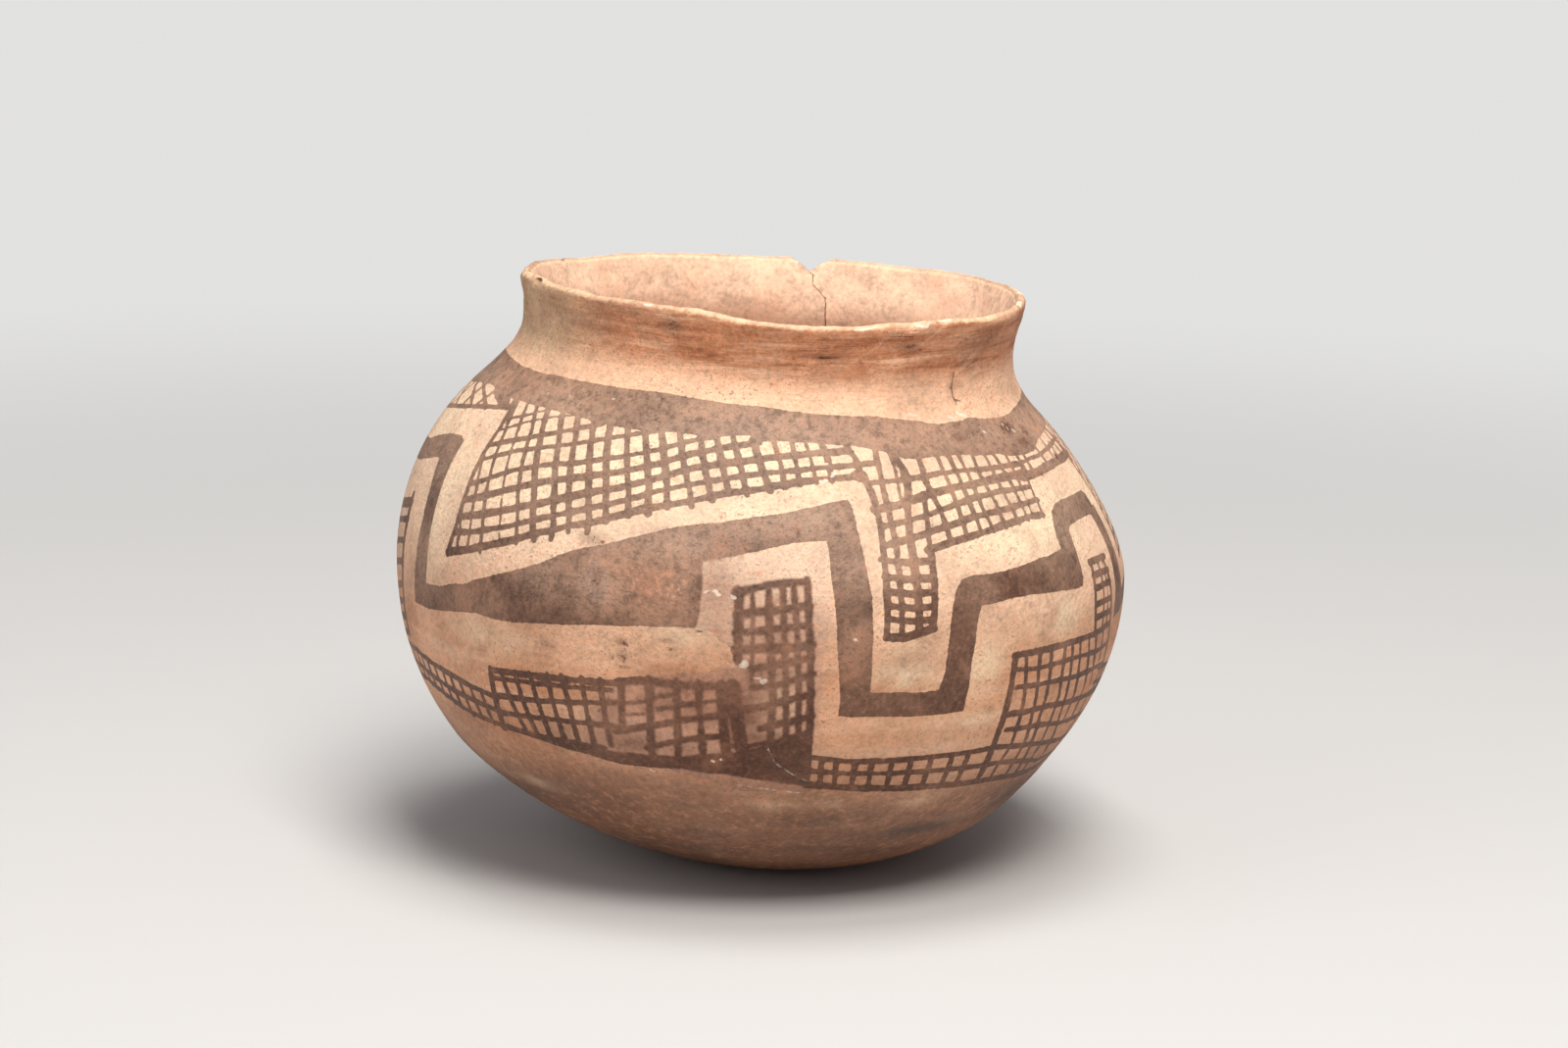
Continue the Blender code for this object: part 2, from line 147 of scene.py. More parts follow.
def outerRadius(height):
    height = np.asarray(height, float)
    widest, low, high = (jarForm[key] for key in ("bellyRadius", "lowerFullness", "upperFullness"))
    drop = np.clip((belly - height) / (belly + wornDepth), 0.0, 1.0)
    under = widest * (1.0 - drop**low) ** (1.0 / low)
    up = np.clip((height - belly) / dome, 0.0, jarForm["shoulderRise"] / dome)
    left = 1.0 - up**high
    over = widest * left ** (1.0 / high)
    edge = 1.0 - (jarForm["shoulderRise"] / dome) ** high
    edgeRadius = widest * edge ** (1.0 / high)
    slope = -edgeRadius / edge * (jarForm["shoulderRise"] / dome) ** (high - 1.0) / dome
    share = np.clip((height - shoulder) / (neck - shoulder), 0.0, 1.0)
    fall = 2.0 * share**3 - 3.0 * share**2 + 1.0
    bend = (share**3 - 2.0 * share**2 + share) * (neck - shoulder) * slope
    waist = fall * edgeRadius + bend + (1.0 - fall) * jarForm["neckRadius"]
    flare = np.clip((height - neck) / (rim - neck), 0.0, 1.0) ** jarForm["lipFlare"]
    lip = jarForm["neckRadius"] + (jarForm["lipRadius"] - jarForm["neckRadius"]) * flare
    return np.select([height <= belly, height <= shoulder, height <= neck], [under, over, waist], lip)


# The outside line, from the bottom pole to the lip, with its length and a map that lays the
# whole jar flat round its pole without changing any angle
def outsideLine(lowSteps=160, highSteps=320):
    angle = np.linspace(0.0, math.pi / 2.0, lowSteps)
    power = 2.0 / jarForm["lowerFullness"]
    lowRadius = jarForm["bellyRadius"] * np.sin(angle) ** power
    lowHeight = belly - (belly + wornDepth) * np.maximum(np.cos(angle), 0.0) ** power
    highHeight = np.linspace(belly, rimEdge, highSteps)[1:]
    radius = np.concatenate([lowRadius, outerRadius(highHeight)])
    return radius, np.concatenate([lowHeight, highHeight])


lineRadius, lineHeight = outsideLine()
lineAlong = np.concatenate([[0.0], np.cumsum(np.hypot(np.diff(lineRadius), np.diff(lineHeight)))])
rimAlong = lineAlong[-1]
steps = np.diff(lineAlong)[1:] / ((lineRadius[1:-1] + lineRadius[2:]) / 2.0)
lineSpread = np.concatenate([[0.0], lineAlong[1] * np.exp(np.concatenate([[0.0], np.cumsum(steps)]))])


def alongAt(height):  # metres up the outside line at a height
    return np.interp(height, lineHeight, lineAlong)


def radiusAt(along):
    return np.interp(along, lineAlong, lineRadius)


def heightAt(along):
    return np.interp(along, lineAlong, lineHeight)


def levelHeight(level):
    marks = [0.0, belly, shoulder, neck, rim, rim + jarForm["pastLip"]]
    return float(np.interp(level, range(len(marks)), marks))


def around(turn):  # the same turn between -180 and 180
    return (turn + 180.0) % 360.0 - 180.0


def laidFlat(turn, along):
    spread = np.interp(along, lineAlong, lineSpread)
    angle = np.radians(turn)
    return np.stack([spread * np.sin(angle), -spread * np.cos(angle)], axis=-1)


# Break lines: corners as (turn, level), as the mended jar comes apart
mending = {
    "stride": 0.0060, "jag": 0.0005, "seed": 7, "grain": 0.00075, "grainJag": 0.00012,
    "setback": 0.00006, "notchTurn": 171.4, "notchWidth": 0.0112, "notchDepth": 0.0042,
}
# the small worn chip in the lip: where it is, then millimetres along the lip
lipChip = {"turn": 243.4, "perDegree": 1.15, "flat": 1.0, "reach": 3.2, "least": 0.35}
infillOutline = (
    (-9.0, 1.41), (0.5, 1.46), (10.5, 1.50), (11.0, 1.25), (9.6, 0.94), (9.8, 0.81), (8.6, 0.61),
    (8.8, 0.48), (-2.0, 0.46), (-14.0, 0.53), (-28.6, 0.60), (-26.1, 0.69), (-23.4, 0.75),
    (-21.4, 0.83), (-12.0, 0.87), (-3.4, 0.90), (-3.6, 0.963), (-5.6, 0.982), (-6.1, 1.02),
    (-9.0, 1.03),
)
plugOutline = (
    (-26.8, 1.32), (-24.4, 1.34), (-23.2, 1.29), (-22.9, 1.20), (-23.6, 1.12), (-25.4, 1.09),
    (-26.6, 1.20),
)
rightMeeting, backMeeting, leftMeeting = (99.0, 1.22), (163.0, 1.60), (256.0, 1.42)
openBreaks = {
    "neck": (
        (44.0, 5.0), (45.5, 3.6), (47.2, 3.1), (46.9, 2.75), (48.0, 2.45), (45.5, 2.1),
        (38.0, 1.96), (29.0, 1.90), (25.5, 1.70), (27.5, 1.52), (20.0, 1.38), infillOutline[3],
    ),
    "rightBelly": (
        infillOutline[4], (17.1, 0.915), (30.5, 0.895), (47.0, 0.86), (64.0, 0.93), (84.0, 1.06),
        rightMeeting,
    ),
    "step": (
        (113.0, 5.0), (112.0, 3.4), (108.0, 2.6), (110.0, 2.1), (104.0, 1.65), rightMeeting,
    ),
    "lowerRight": (
        infillOutline[7], (26.0, 0.44), (49.0, 0.42), (72.0, 0.52), (90.0, 0.72), (97.0, 0.96),
        rightMeeting,
    ),
    "back": (
        rightMeeting, (118.0, 1.40), (141.0, 1.46), backMeeting, (188.0, 1.52), (214.0, 1.38),
        (238.0, 1.50), leftMeeting,
    ),
    "notch": (
        (mending["notchTurn"], 5.0), (170.0, 3.4), (165.8, 3.14), (163.8, 2.66), (160.0, 2.0),
        backMeeting,
    ),
    "leftRim": ((lipChip["turn"], 5.0), (244.5, 3.3), (250.0, 2.4), (252.5, 1.9), leftMeeting),
    "shoulder": (
        leftMeeting, (272.0, 1.56), (291.0, 1.47), (314.0, 1.55), (336.0, 1.43),
        (infillOutline[0][0] + 360.0, infillOutline[0][1]),
    ),
    "lowerLeft": (
        leftMeeting, (262.0, 1.05), (275.0, 0.80), (292.0, 0.66), (313.0, 0.57),
        (infillOutline[10][0] + 360.0, infillOutline[10][1]),
    ),
}


def raggedLine(corners, closed, seed, top=rimEdge):
    # (turn, along) points with a ragged line between the corners, and where each corner is
    ragged = random.Random(seed)
    stops = list(corners) + ([corners[0]] if closed else [])
    coarse = []
    for (turn, level), (nextTurn, nextLevel) in zip(stops, stops[1:]):
        height, nextHeight = levelHeight(level), levelHeight(nextLevel)
        radius = float(outerRadius((height + nextHeight) / 2.0))
        length = math.hypot(math.radians(nextTurn - turn) * radius, nextHeight - height)
        pieces = max(round(length / mending["stride"]), 1)
        coarse.append((turn, height, True))
        for step in range(1, pieces):
            share = step / pieces
            offTurn = math.degrees(ragged.uniform(-mending["jag"], mending["jag"]) / radius)
            offHeight = ragged.uniform(-mending["jag"], mending["jag"])
            coarse.append((
                turn + (nextTurn - turn) * share + offTurn,
                height + (nextHeight - height) * share + offHeight, False,
            ))
    coarse.append((stops[-1][0], levelHeight(stops[-1][1]), True))
    if not closed and coarse[0][1] > top:  # a break that runs out over the lip starts at its edge
        past = max(index for index, point in enumerate(coarse) if point[1] > top)
        (turn, height, _), (nextTurn, nextHeight, _) = coarse[past], coarse[past + 1]
        share = (height - top) / (height - nextHeight)
        start = (turn + (nextTurn - turn) * share, top, True)
        skipped = sum(point[2] for point in coarse[1:past + 1])
        coarse = [start] * (1 + skipped) + coarse[past + 1:]
    fine, cornerAt = [], []
    for (turn, height, corner), (nextTurn, nextHeight, _) in zip(coarse, coarse[1:]):
        if corner:
            cornerAt.append(len(fine))
        along, nextAlong = float(alongAt(height)), float(alongAt(nextHeight))
        radius = float(radiusAt((along + nextAlong) / 2.0))
        across = math.radians(nextTurn - turn) * radius
        length = math.hypot(across, nextAlong - along)
        if length < together:
            continue
        pieces = max(round(length / mending["grain"]), 1)
        for step in range(pieces):
            share = step / pieces
            off = ragged.uniform(-1.0, 1.0) * mending["grainJag"] if step else 0.0
            fine.append((
                turn + (nextTurn - turn) * share + math.degrees(off / radius) * (nextAlong - along) / length,
                along + (nextAlong - along) * share - off * across / length,
            ))
    cornerAt.append(len(fine))
    fine.append((coarse[-1][0], float(alongAt(coarse[-1][1]))))
    return np.array(fine), cornerAt


breakLines = {
    "infill": raggedLine(infillOutline, True, mending["seed"]),
    "plug": raggedLine(plugOutline, True, mending["seed"]),
}
notchBottom = rim - mending["notchDepth"]
for breakSeed, (breakName, breakCorners) in enumerate(openBreaks.items(), start=mending["seed"] + 1):
    lineTop = notchBottom if breakName == "notch" else rimEdge
    breakLines[breakName] = raggedLine(breakCorners, False, breakSeed, lineTop)


def stretch(name, start=0, end=-1):
    # the part of a break line from one of its corners to another, as (turn, along, lift)
    points, cornerAt = breakLines[name]
    first, last = cornerAt[start], cornerAt[end]
    part = points[first:last + 1] if first < last else points[last:first + 1][::-1]
    return np.column_stack([part, np.zeros(len(part))])


def rimStretch(startTurn, endTurn):
    # along the lip, over the small worn chip in it; lift is how far the rounded lip stands
    length = abs(endTurn - startTurn) * math.radians(1.0) * jarForm["lipRadius"]
    count = max(int(length / mending["grain"]), 2)
    turn = np.linspace(startTurn, endTurn, count)
    away = np.abs(around(turn - lipChip["turn"])) * lipChip["perDegree"] + lipChip["flat"]
    lift = np.clip(away / lipChip["reach"], lipChip["least"], 1.0)
    return np.column_stack([turn, np.full(count, rimAlong), lift])


def notchStretch(side):
    # one sloping side of the notch in the back rim, from its bottom out to the lip
    def turnAt(height):
        half = mending["notchWidth"] / 2.0 * (height - notchBottom) / mending["notchDepth"]
        return mending["notchTurn"] + side * math.degrees(half / jarForm["lipRadius"])

    count = 7
    low = np.linspace(notchBottom, rimEdge, count)
    high = np.linspace(rimEdge, rim, count)
    rows = [(turnAt(height), float(alongAt(height)), 0.0) for height in low]
    rows += [(turnAt(height), rimAlong, (height - rimEdge) / (rim - rimEdge)) for height in high[1:]]
    return np.array(rows)


def joined(*parts):
    # one closed ring; turns are carried on without a jump from part to part
    ring = []
    for part in parts:
        part = part.copy()
        if ring:
            part[:, 0] += 360.0 * round((ring[-1][-1, 0] - part[0, 0]) / 360.0)
            ring[-1][-1, 2] = max(part[0, 2], ring[-1][-1, 2])
            part = part[1:]
        ring.append(part)
    ring = np.concatenate(ring)
    ring[0, 2] = max(ring[0, 2], ring[-1, 2])
    ring = ring[:-1]
    return ring[np.abs(np.diff(ring, axis=0, append=ring[:1])).sum(axis=1) > together]


notchLeft, notchRight = notchStretch(1.0), notchStretch(-1.0)
neckTop, stepTop, leftTop = (breakLines[name][0][0][0] for name in ("neck", "step", "leftRim"))
rings = {
    "plaster_infill": [joined(stretch("infill", 0, 20))],
    "grey_plug_fill": [joined(stretch("plug", 0, 7))],
    "shoulder_sherd_front": [joined(
        rimStretch(leftTop - 360.0, neckTop), stretch("neck"), stretch("infill", 3, 0),
        stretch("shoulder", -1, 0), stretch("leftRim", -1, 0),
    )],
    "neck_sherd_right": [joined(
        rimStretch(neckTop, stepTop), stretch("step"), stretch("rightBelly", -1, 0),
        stretch("infill", 4, 3), stretch("neck", -1, 0),
    )],
    "belly_sherd_right": [joined(
        stretch("rightBelly"), stretch("lowerRight", -1, 0), stretch("infill", 7, 4),
    )],
    "belly_sherd_left": [joined(
        stretch("shoulder"), stretch("infill", 20, 10), stretch("lowerLeft", -1, 0),
    ), joined(stretch("plug", 0, 7))],
    "rim_sherd_back_right": [joined(
        rimStretch(stepTop, notchRight[-1, 0]), notchRight[::-1], stretch("notch"),
        stretch("back", 3, 0), stretch("step", -1, 0),
    )],
    "rim_sherd_back_left": [joined(
        notchLeft, rimStretch(notchLeft[-1, 0], leftTop), stretch("leftRim"),
        stretch("back", 7, 3), stretch("notch", -1, 0),
    )],
    "body_and_base": [joined(
        stretch("back"), stretch("lowerLeft"), stretch("infill", 10, 7), stretch("lowerRight"),
    )],
}


def area(points):
    x, y = points.T
    return 0.5 * float(np.sum(x * np.roll(y, -1) - np.roll(x, -1) * y))


for name, found in rings.items():  # clay always lies to the left of a ring
    for index, ring in enumerate(found):
        turnsLeft = area(laidFlat(ring[:, 0], ring[:, 1])) > 0.0
        if turnsLeft != (index == 0):
            found[index] = ring[::-1].copy()
print("break lines:", sum(len(ring) for found in rings.values() for ring in found), "points")


# Sherds laid flat: a lattice of points inside each ring, joined up into triangles
sherdMesh = {
    "outside": (
        ((-180.0, 180.0), (-0.002, 0.029), 0.0016), ((-100.0, 100.0), (0.029, 0.131), 0.00054),
        ((100.0, 260.0), (0.029, 0.131), 0.00082), ((-100.0, 100.0), (0.131, 0.151), 0.0008),
        ((100.0, 260.0), (0.131, 0.151), 0.0012),
    ),
    "inside": (((-180.0, 180.0), (-0.002, 0.110), 0.0026), ((-180.0, 180.0), (0.110, 0.151), 0.0016)),
    "edgeRows": 8, "clear": 0.00028, "clearShare": 0.35, "rowStep": 0.866, "sharp": 48.0,
}


def turnedPlace(turn, along):
    radius, angle = radiusAt(along), np.radians(turn)
    return np.stack([radius * np.sin(angle), -radius * np.cos(angle), heightAt(along)], axis=-1)


def lattice(turns, heights, spacing):
    low, high = (float(alongAt(height)) for height in heights)
    rows = []
    count = max(int((high - low) / (spacing * sherdMesh["rowStep"])), 1)
    for row in range(count):
        along = low + (row + 0.5) * (high - low) / count
        width = math.radians(turns[1] - turns[0]) * float(radiusAt(along))
        columns = max(int(round(width / spacing)), 1)
        share = (np.arange(columns) + 0.25 + 0.5 * (row % 2)) / columns
        rows.append(np.column_stack([turns[0] + share * (turns[1] - turns[0]), np.full(columns, along)]))
    return np.concatenate(rows)


def insideOf(points, ring):
    order = np.argsort(points[:, 1])
    x, y = points[order].T
    found = np.zeros(len(points), bool)
    for (ax, ay), (bx, by) in zip(ring.tolist(), np.roll(ring, -1, axis=0).tolist()):
        low, high = np.searchsorted(y, (min(ay, by), max(ay, by)))
        if high > low:
            found[low:high] ^= x[low:high] < ax + (y[low:high] - ay) * (bx - ax) / (by - ay)
    inside = np.empty_like(found)
    inside[order] = found
    return inside


def sheetOf(found, zones):
    # (turn, along) of every point, the rings' own first, and the triangles between them
    ringPoints = np.concatenate([ring[:, :2] for ring in found])
    flatRings = [laidFlat(ring[:, 0], ring[:, 1]) for ring in found]
    tree = kdtree.KDTree(len(ringPoints))
    for index, place in enumerate(turnedPlace(ringPoints[:, 0], ringPoints[:, 1])):
        tree.insert(place, index)
    tree.balance()
    points = [ringPoints]
    for turns, heights, spacing in zones:
        laid = lattice(turns, heights, spacing)
        if heights[0] < 0.0:
            laid = np.concatenate([laid[laid[:, 1] > spacing], np.zeros((1, 2))])
        flat = laidFlat(laid[:, 0], laid[:, 1])
        inside = insideOf(flat, flatRings[0])
        for hole in flatRings[1:]:
            inside &= ~insideOf(flat, hole)
        laid = laid[inside]
        clear = spacing * sherdMesh["clearShare"] + sherdMesh["clear"]
        keep = [tree.find(place)[2] > clear for place in turnedPlace(laid[:, 0], laid[:, 1])]
        points.append(laid[np.array(keep, bool)])
    points = np.concatenate(points)
    flat = laidFlat(points[:, 0], points[:, 1])
    edges, first = [], 0
    for ring in found:
        edges += [(first + index, first + (index + 1) % len(ring)) for index in range(len(ring))]
        first += len(ring)
    laid = geometry.delaunay_2d_cdt([Vector(place) for place in flat.tolist()], edges, [], 1, tiny)
    source = np.array([ids[0] if ids else -1 for ids in laid[3]])
    faces = source[np.array(laid[2])]
    if (source < 0).any():
        print("note: break lines cross at", int((source < 0).sum()), "points")
        faces = faces[(faces >= 0).all(axis=1)]
    a, b, c = (flat[faces[:, index]] for index in range(3))
    ahead = (b[:, 0] - a[:, 0]) * (c[:, 1] - a[:, 1]) - (b[:, 1] - a[:, 1]) * (c[:, 0] - a[:, 0])
    faces[ahead < 0.0] = faces[ahead < 0.0][:, ::-1]
    for hole in flatRings[1:]:
        keep = ~insideOf((a + b + c) / 3.0, hole)
        faces, a, b, c = faces[keep], a[keep], b[keep], c[keep]
    return points, faces


def setBack(ring):
    # the ring drawn in a hair at the outer skin, so that a fine line shows between sherds
    turn, along, lift = ring.T
    radius = radiusAt(along)
    ahead, behind = np.roll(ring, -1, axis=0), np.roll(ring, 1, axis=0)
    across = np.radians(ahead[:, 0] - behind[:, 0]) * radius
    up = ahead[:, 1] - behind[:, 1]
    length = np.maximum(np.hypot(across, up), tiny)
    inward = mending["setback"] * (1.0 - lift)
    moved = ring.copy()
    moved[:, 0] -= np.degrees(inward * up / length / radius)
    moved[:, 1] += inward * across / length
    return moved


# Brushwork as (width in mm, points) for a stroke, or width 0 for a filled shape; every point is
# (turn, height in mm).  The front is drawn as it is seen and its pattern carries on round the back
fretShape = (
    (-65.5, 110.3), (-63.6, 109.5), (-63.3, 104), (-63, 98), (-62.6, 90), (-62.3, 82), (-62.5, 76.2),
    (-58, 77), (-55, 78.4), (-52, 79.3), (-50, 80), (-47, 82), (-44, 83.8), (-41, 85.3), (-38, 86.8),
    (-35, 88.5), (-32, 91), (-30, 92.5), (-27, 94.2), (-25, 95), (-22, 96.3), (-20, 97.7), (-17, 99),
    (-13, 101), (-10, 102), (-6, 103), (0, 105), (5, 106.3), (10, 108), (13, 109), (15.5, 109.6),
    (15.9, 108), (16.2, 104), (16.5, 100), (16.8, 94), (17, 88), (17, 63.2), (20, 62.9), (25, 62.4),
    (28.2, 62.5), (28.8, 66), (29.1, 72), (29.5, 79), (30.2, 85), (31, 88.2), (32.3, 90.6), (34.5, 91.5),
    (41, 91.7), (45, 92.5), (50, 93.5), (54, 94.2), (56, 94.6), (56.2, 97.5), (57, 101), (58.3, 103.6),
    (60.3, 105), (63, 105.4), (72, 105.6), (75, 105.3), (76.3, 104), (76.6, 100), (72.8, 99.6), (69, 100),
    (65, 99.8), (62, 99.4), (60.8, 98.2), (60.4, 95), (60.1, 90), (60, 86), (59.3, 84), (57, 83.7),
    (53, 84.3), (45, 84.8), (41, 84.6), (38, 84), (35.4, 83.7), (34.6, 81.5), (34.1, 77), (33.7, 70),
    (33.5, 63), (33.2, 56.1), (30, 55.7), (26, 55.7), (22, 56.2), (18, 56.6), (14, 56.6), (12.3, 57),
    (12.4, 62), (12, 68), (11.7, 75), (11.4, 82), (11.2, 90), (11.2, 96), (11, 100.4), (9, 100.2),
    (6, 99.6), (3, 98.5), (0, 97.2), (-3, 96.2), (-6, 95), (-8.2, 94), (-8.3, 88), (-8.7, 82), (-9, 78.6),
    (-13, 78.2), (-18, 77.6), (-24, 76.8), (-30, 75.6), (-36, 74.6), (-42, 73.5), (-48, 73.6),
    (-52, 72.7), (-56, 71.7), (-62, 70.5), (-67.5, 70.1), (-67.3, 76), (-66.9, 84), (-66.6, 91),
    (-67.3, 97), (-68.3, 101), (-69, 103.3),
)
bandTop = (
    (-100, 127.5), (-88, 128), (-76, 128.3), (-60, 128), (-47, 128.6), (-28, 129), (-20, 129.2),
    (-10, 128.7), (0, 128.7), (10, 127.8), (25, 127.3), (30, 126.7), (35, 126), (40, 125.3), (45, 125.6),
    (50, 126), (55, 125.3), (60, 125), (66, 125.2), (75, 126.3), (90, 127.5), (130, 128), (175, 128.4),
    (220, 127.7), (260, 127.5),
)
bandLow = (
    (-100, 118.8), (-91, 118.7), (-85.3, 119.3), (-75.3, 121.3), (-69.9, 122), (-65.8, 121.1),
    (-57, 121.3), (-47, 121.4), (-42.3, 121.2), (-37.6, 121.4), (-32.8, 120.7), (-26.2, 120.7),
    (-18.8, 120.9), (-15.4, 121.3), (-8.3, 121.1), (-4, 122), (-1.6, 122.2), (0.3, 121), (5.1, 121.5),
    (11, 121.4), (17.8, 121.2), (22.2, 120.3), (25.3, 119.6), (28.2, 118.3), (32, 118.2), (36.5, 118.7),
    (41.4, 118.8), (45.4, 118.1), (51.8, 118), (55.3, 117.1), (60, 116.7), (64.6, 116.8), (70.4, 118.5),
    (75, 119.1), (90, 119.8), (130, 121), (175, 121.4), (220, 121), (260, 119.4),
)
leftBar = (
    (-96, 98), (-88, 99), (-80, 100.5), (-75, 102.2), (-70, 103.8), (-64, 104), (-63.6, 109.5),
    (-65.5, 110.3), (-70, 109.5), (-75, 108), (-82, 105.2), (-88, 104.4), (-96, 103.5),
)
rightLeg = (
    (73.6, 101), (77.6, 101), (77.9, 92), (78.3, 82), (79.2, 76), (79.4, 71.4), (76.6, 71.2), (76.8, 82),
    (75.9, 92),
)
bigHatch = (
    (1.6, (-57.6, 121.3), (-56.3, 118.8), (-55.4, 114.7), (-55.2, 106.4), (-54.9, 98), (-54.9, 92),
     (-55.9, 85.4)),
    (1.9, (-56, 85.6), (-50.8, 87.6), (-47.7, 89.1), (-43.6, 91.1), (-40.2, 92.8), (-36.8, 94.9),
     (-33.6, 96.3), (-30.8, 98.1), (-27.5, 99.2), (-24.4, 101), (-21, 102.9), (-17.7, 104.6),
     (-14.6, 105.7), (-10.8, 107.1), (-7.5, 108.7), (-4.4, 109.7), (-1.6, 110.3), (2.6, 111.8),
     (7.6, 113.1), (12.6, 114), (19.3, 114.7)),
    (1.6, (-54.6, 90.6), (-49.6, 92.1), (-42.5, 95.1), (-35.7, 98.8), (-29.6, 101.7), (-23, 104.9),
     (-16.5, 108.5), (-10, 111.1), (-3, 113.4), (2.9, 114.8), (11.4, 116.3), (22.3, 117.5)),
    (2.0, (-54.4, 94.2), (-49.9, 95.8), (-43.2, 98.8), (-36.5, 102), (-30.5, 105.1), (-23.7, 107.9),
     (-17.2, 111.2), (-11.1, 114.3), (-4.7, 116.1), (2.1, 117.8), (10.7, 119.3), (17.5, 120)),
    (1.9, (-54.6, 98), (-50.8, 99.7), (-44.5, 103.1), (-37.8, 106.5), (-31.3, 108.8), (-24.7, 111.1),
     (-18.2, 114), (-12, 117.2), (-5.7, 119.4), (0.1, 120.8)),
    (1.4, (-55, 101.6), (-51.6, 103.4), (-45.5, 107.3), (-39.1, 110), (-32.2, 111.9), (-25.7, 114.3),
     (-19.1, 116.9), (-12.9, 119.8), (-9, 121)),
    (1.4, (-55, 107.2), (-53.3, 108.2), (-46.9, 111.5), (-40.5, 113.7), (-33.6, 116.1), (-27.3, 118.6),
     (-20, 121)),
    (1.6, (-55.2, 110.7), (-47.5, 114.1), (-41.5, 116.6), (-34.8, 119.3), (-31.5, 120.8)),
    (0.7, (-55.4, 114), (-49.4, 117.6), (-43.6, 120), (-38.8, 121.4)),
    (0.7, (-55.6, 116.8), (-50.1, 119.2), (-46.5, 121)), (1.0, (-54.9, 98), (-53.8, 92.3), (-53.5, 86.5)),
    (1.1, (-55, 108.5), (-52.6, 101), (-51.1, 93), (-50.7, 87)),
    (1.2, (-56.1, 120.8), (-53.1, 113.8), (-50.1, 102.3), (-48.2, 94), (-47.6, 88.2)),
    (0.8, (-52.8, 121.1), (-50.1, 115.7), (-46.8, 104.8), (-44.5, 96.4), (-43.5, 90.4)),
    (1.3, (-49.6, 121.2), (-46.8, 116.7), (-43.6, 106.3), (-41, 98), (-40.1, 92)),
    (1.9, (-46.3, 121.5), (-43.1, 114.4), (-39.1, 103.4), (-37.4, 96.2), (-36.7, 93.5)),
    (1.9, (-41.9, 121), (-39.1, 116), (-35.4, 105.3), (-33.6, 97.9), (-33.5, 94.7)),
    (1.7, (-38, 121.5), (-35.8, 117.1), (-32.7, 106.2), (-31, 99.4), (-30.7, 96.8)),
    (1.7, (-33.6, 121), (-31.4, 114.7), (-29.1, 107.4), (-27.5, 100.8), (-27.3, 97.4)),
    (1.9, (-29.9, 121), (-28.3, 115.8), (-26.1, 108.8), (-24.4, 100.4)),
    (1.7, (-26, 121), (-23.5, 113.6), (-21.6, 107.3), (-20.9, 102.3)),
    (1.9, (-22.3, 121), (-20, 114.8), (-18.3, 109), (-17.6, 103.4)),
    (1.9, (-18.8, 121), (-17, 115.9), (-15.4, 110.5), (-14.6, 105.2)),
    (1.7, (-15.3, 121.3), (-13.2, 115), (-11.1, 108.8), (-10.6, 106)),
    (1.7, (-11.1, 121), (-9.4, 115), (-7.4, 107.8)), (1.6, (-8, 121.3), (-6.4, 116), (-4.6, 109.4)),
    (1.5, (-4.8, 121.4), (-2.9, 115.1), (-1.6, 109.4)), (2.0, (-1, 121.4), (0.7, 116), (2.2, 110.8)),
    (1.4, (3.1, 121.1), (4.2, 116.5), (4.8, 111.7)), (1.1, (6.5, 121.4), (7, 116.9), (7.5, 112.3)),
    (1.1, (9.3, 121.2), (9.9, 117.6), (10.4, 113)), (1.8, (12.4, 121), (12.9, 118.3), (13.2, 113.5)),
    (1.6, (17.2, 121), (18.3, 118.6), (18.9, 114.4)),
    (0, (15.6, 114.5), (17.7, 116), (19.4, 114.8), (18.5, 113.3), (16.8, 114)),
)
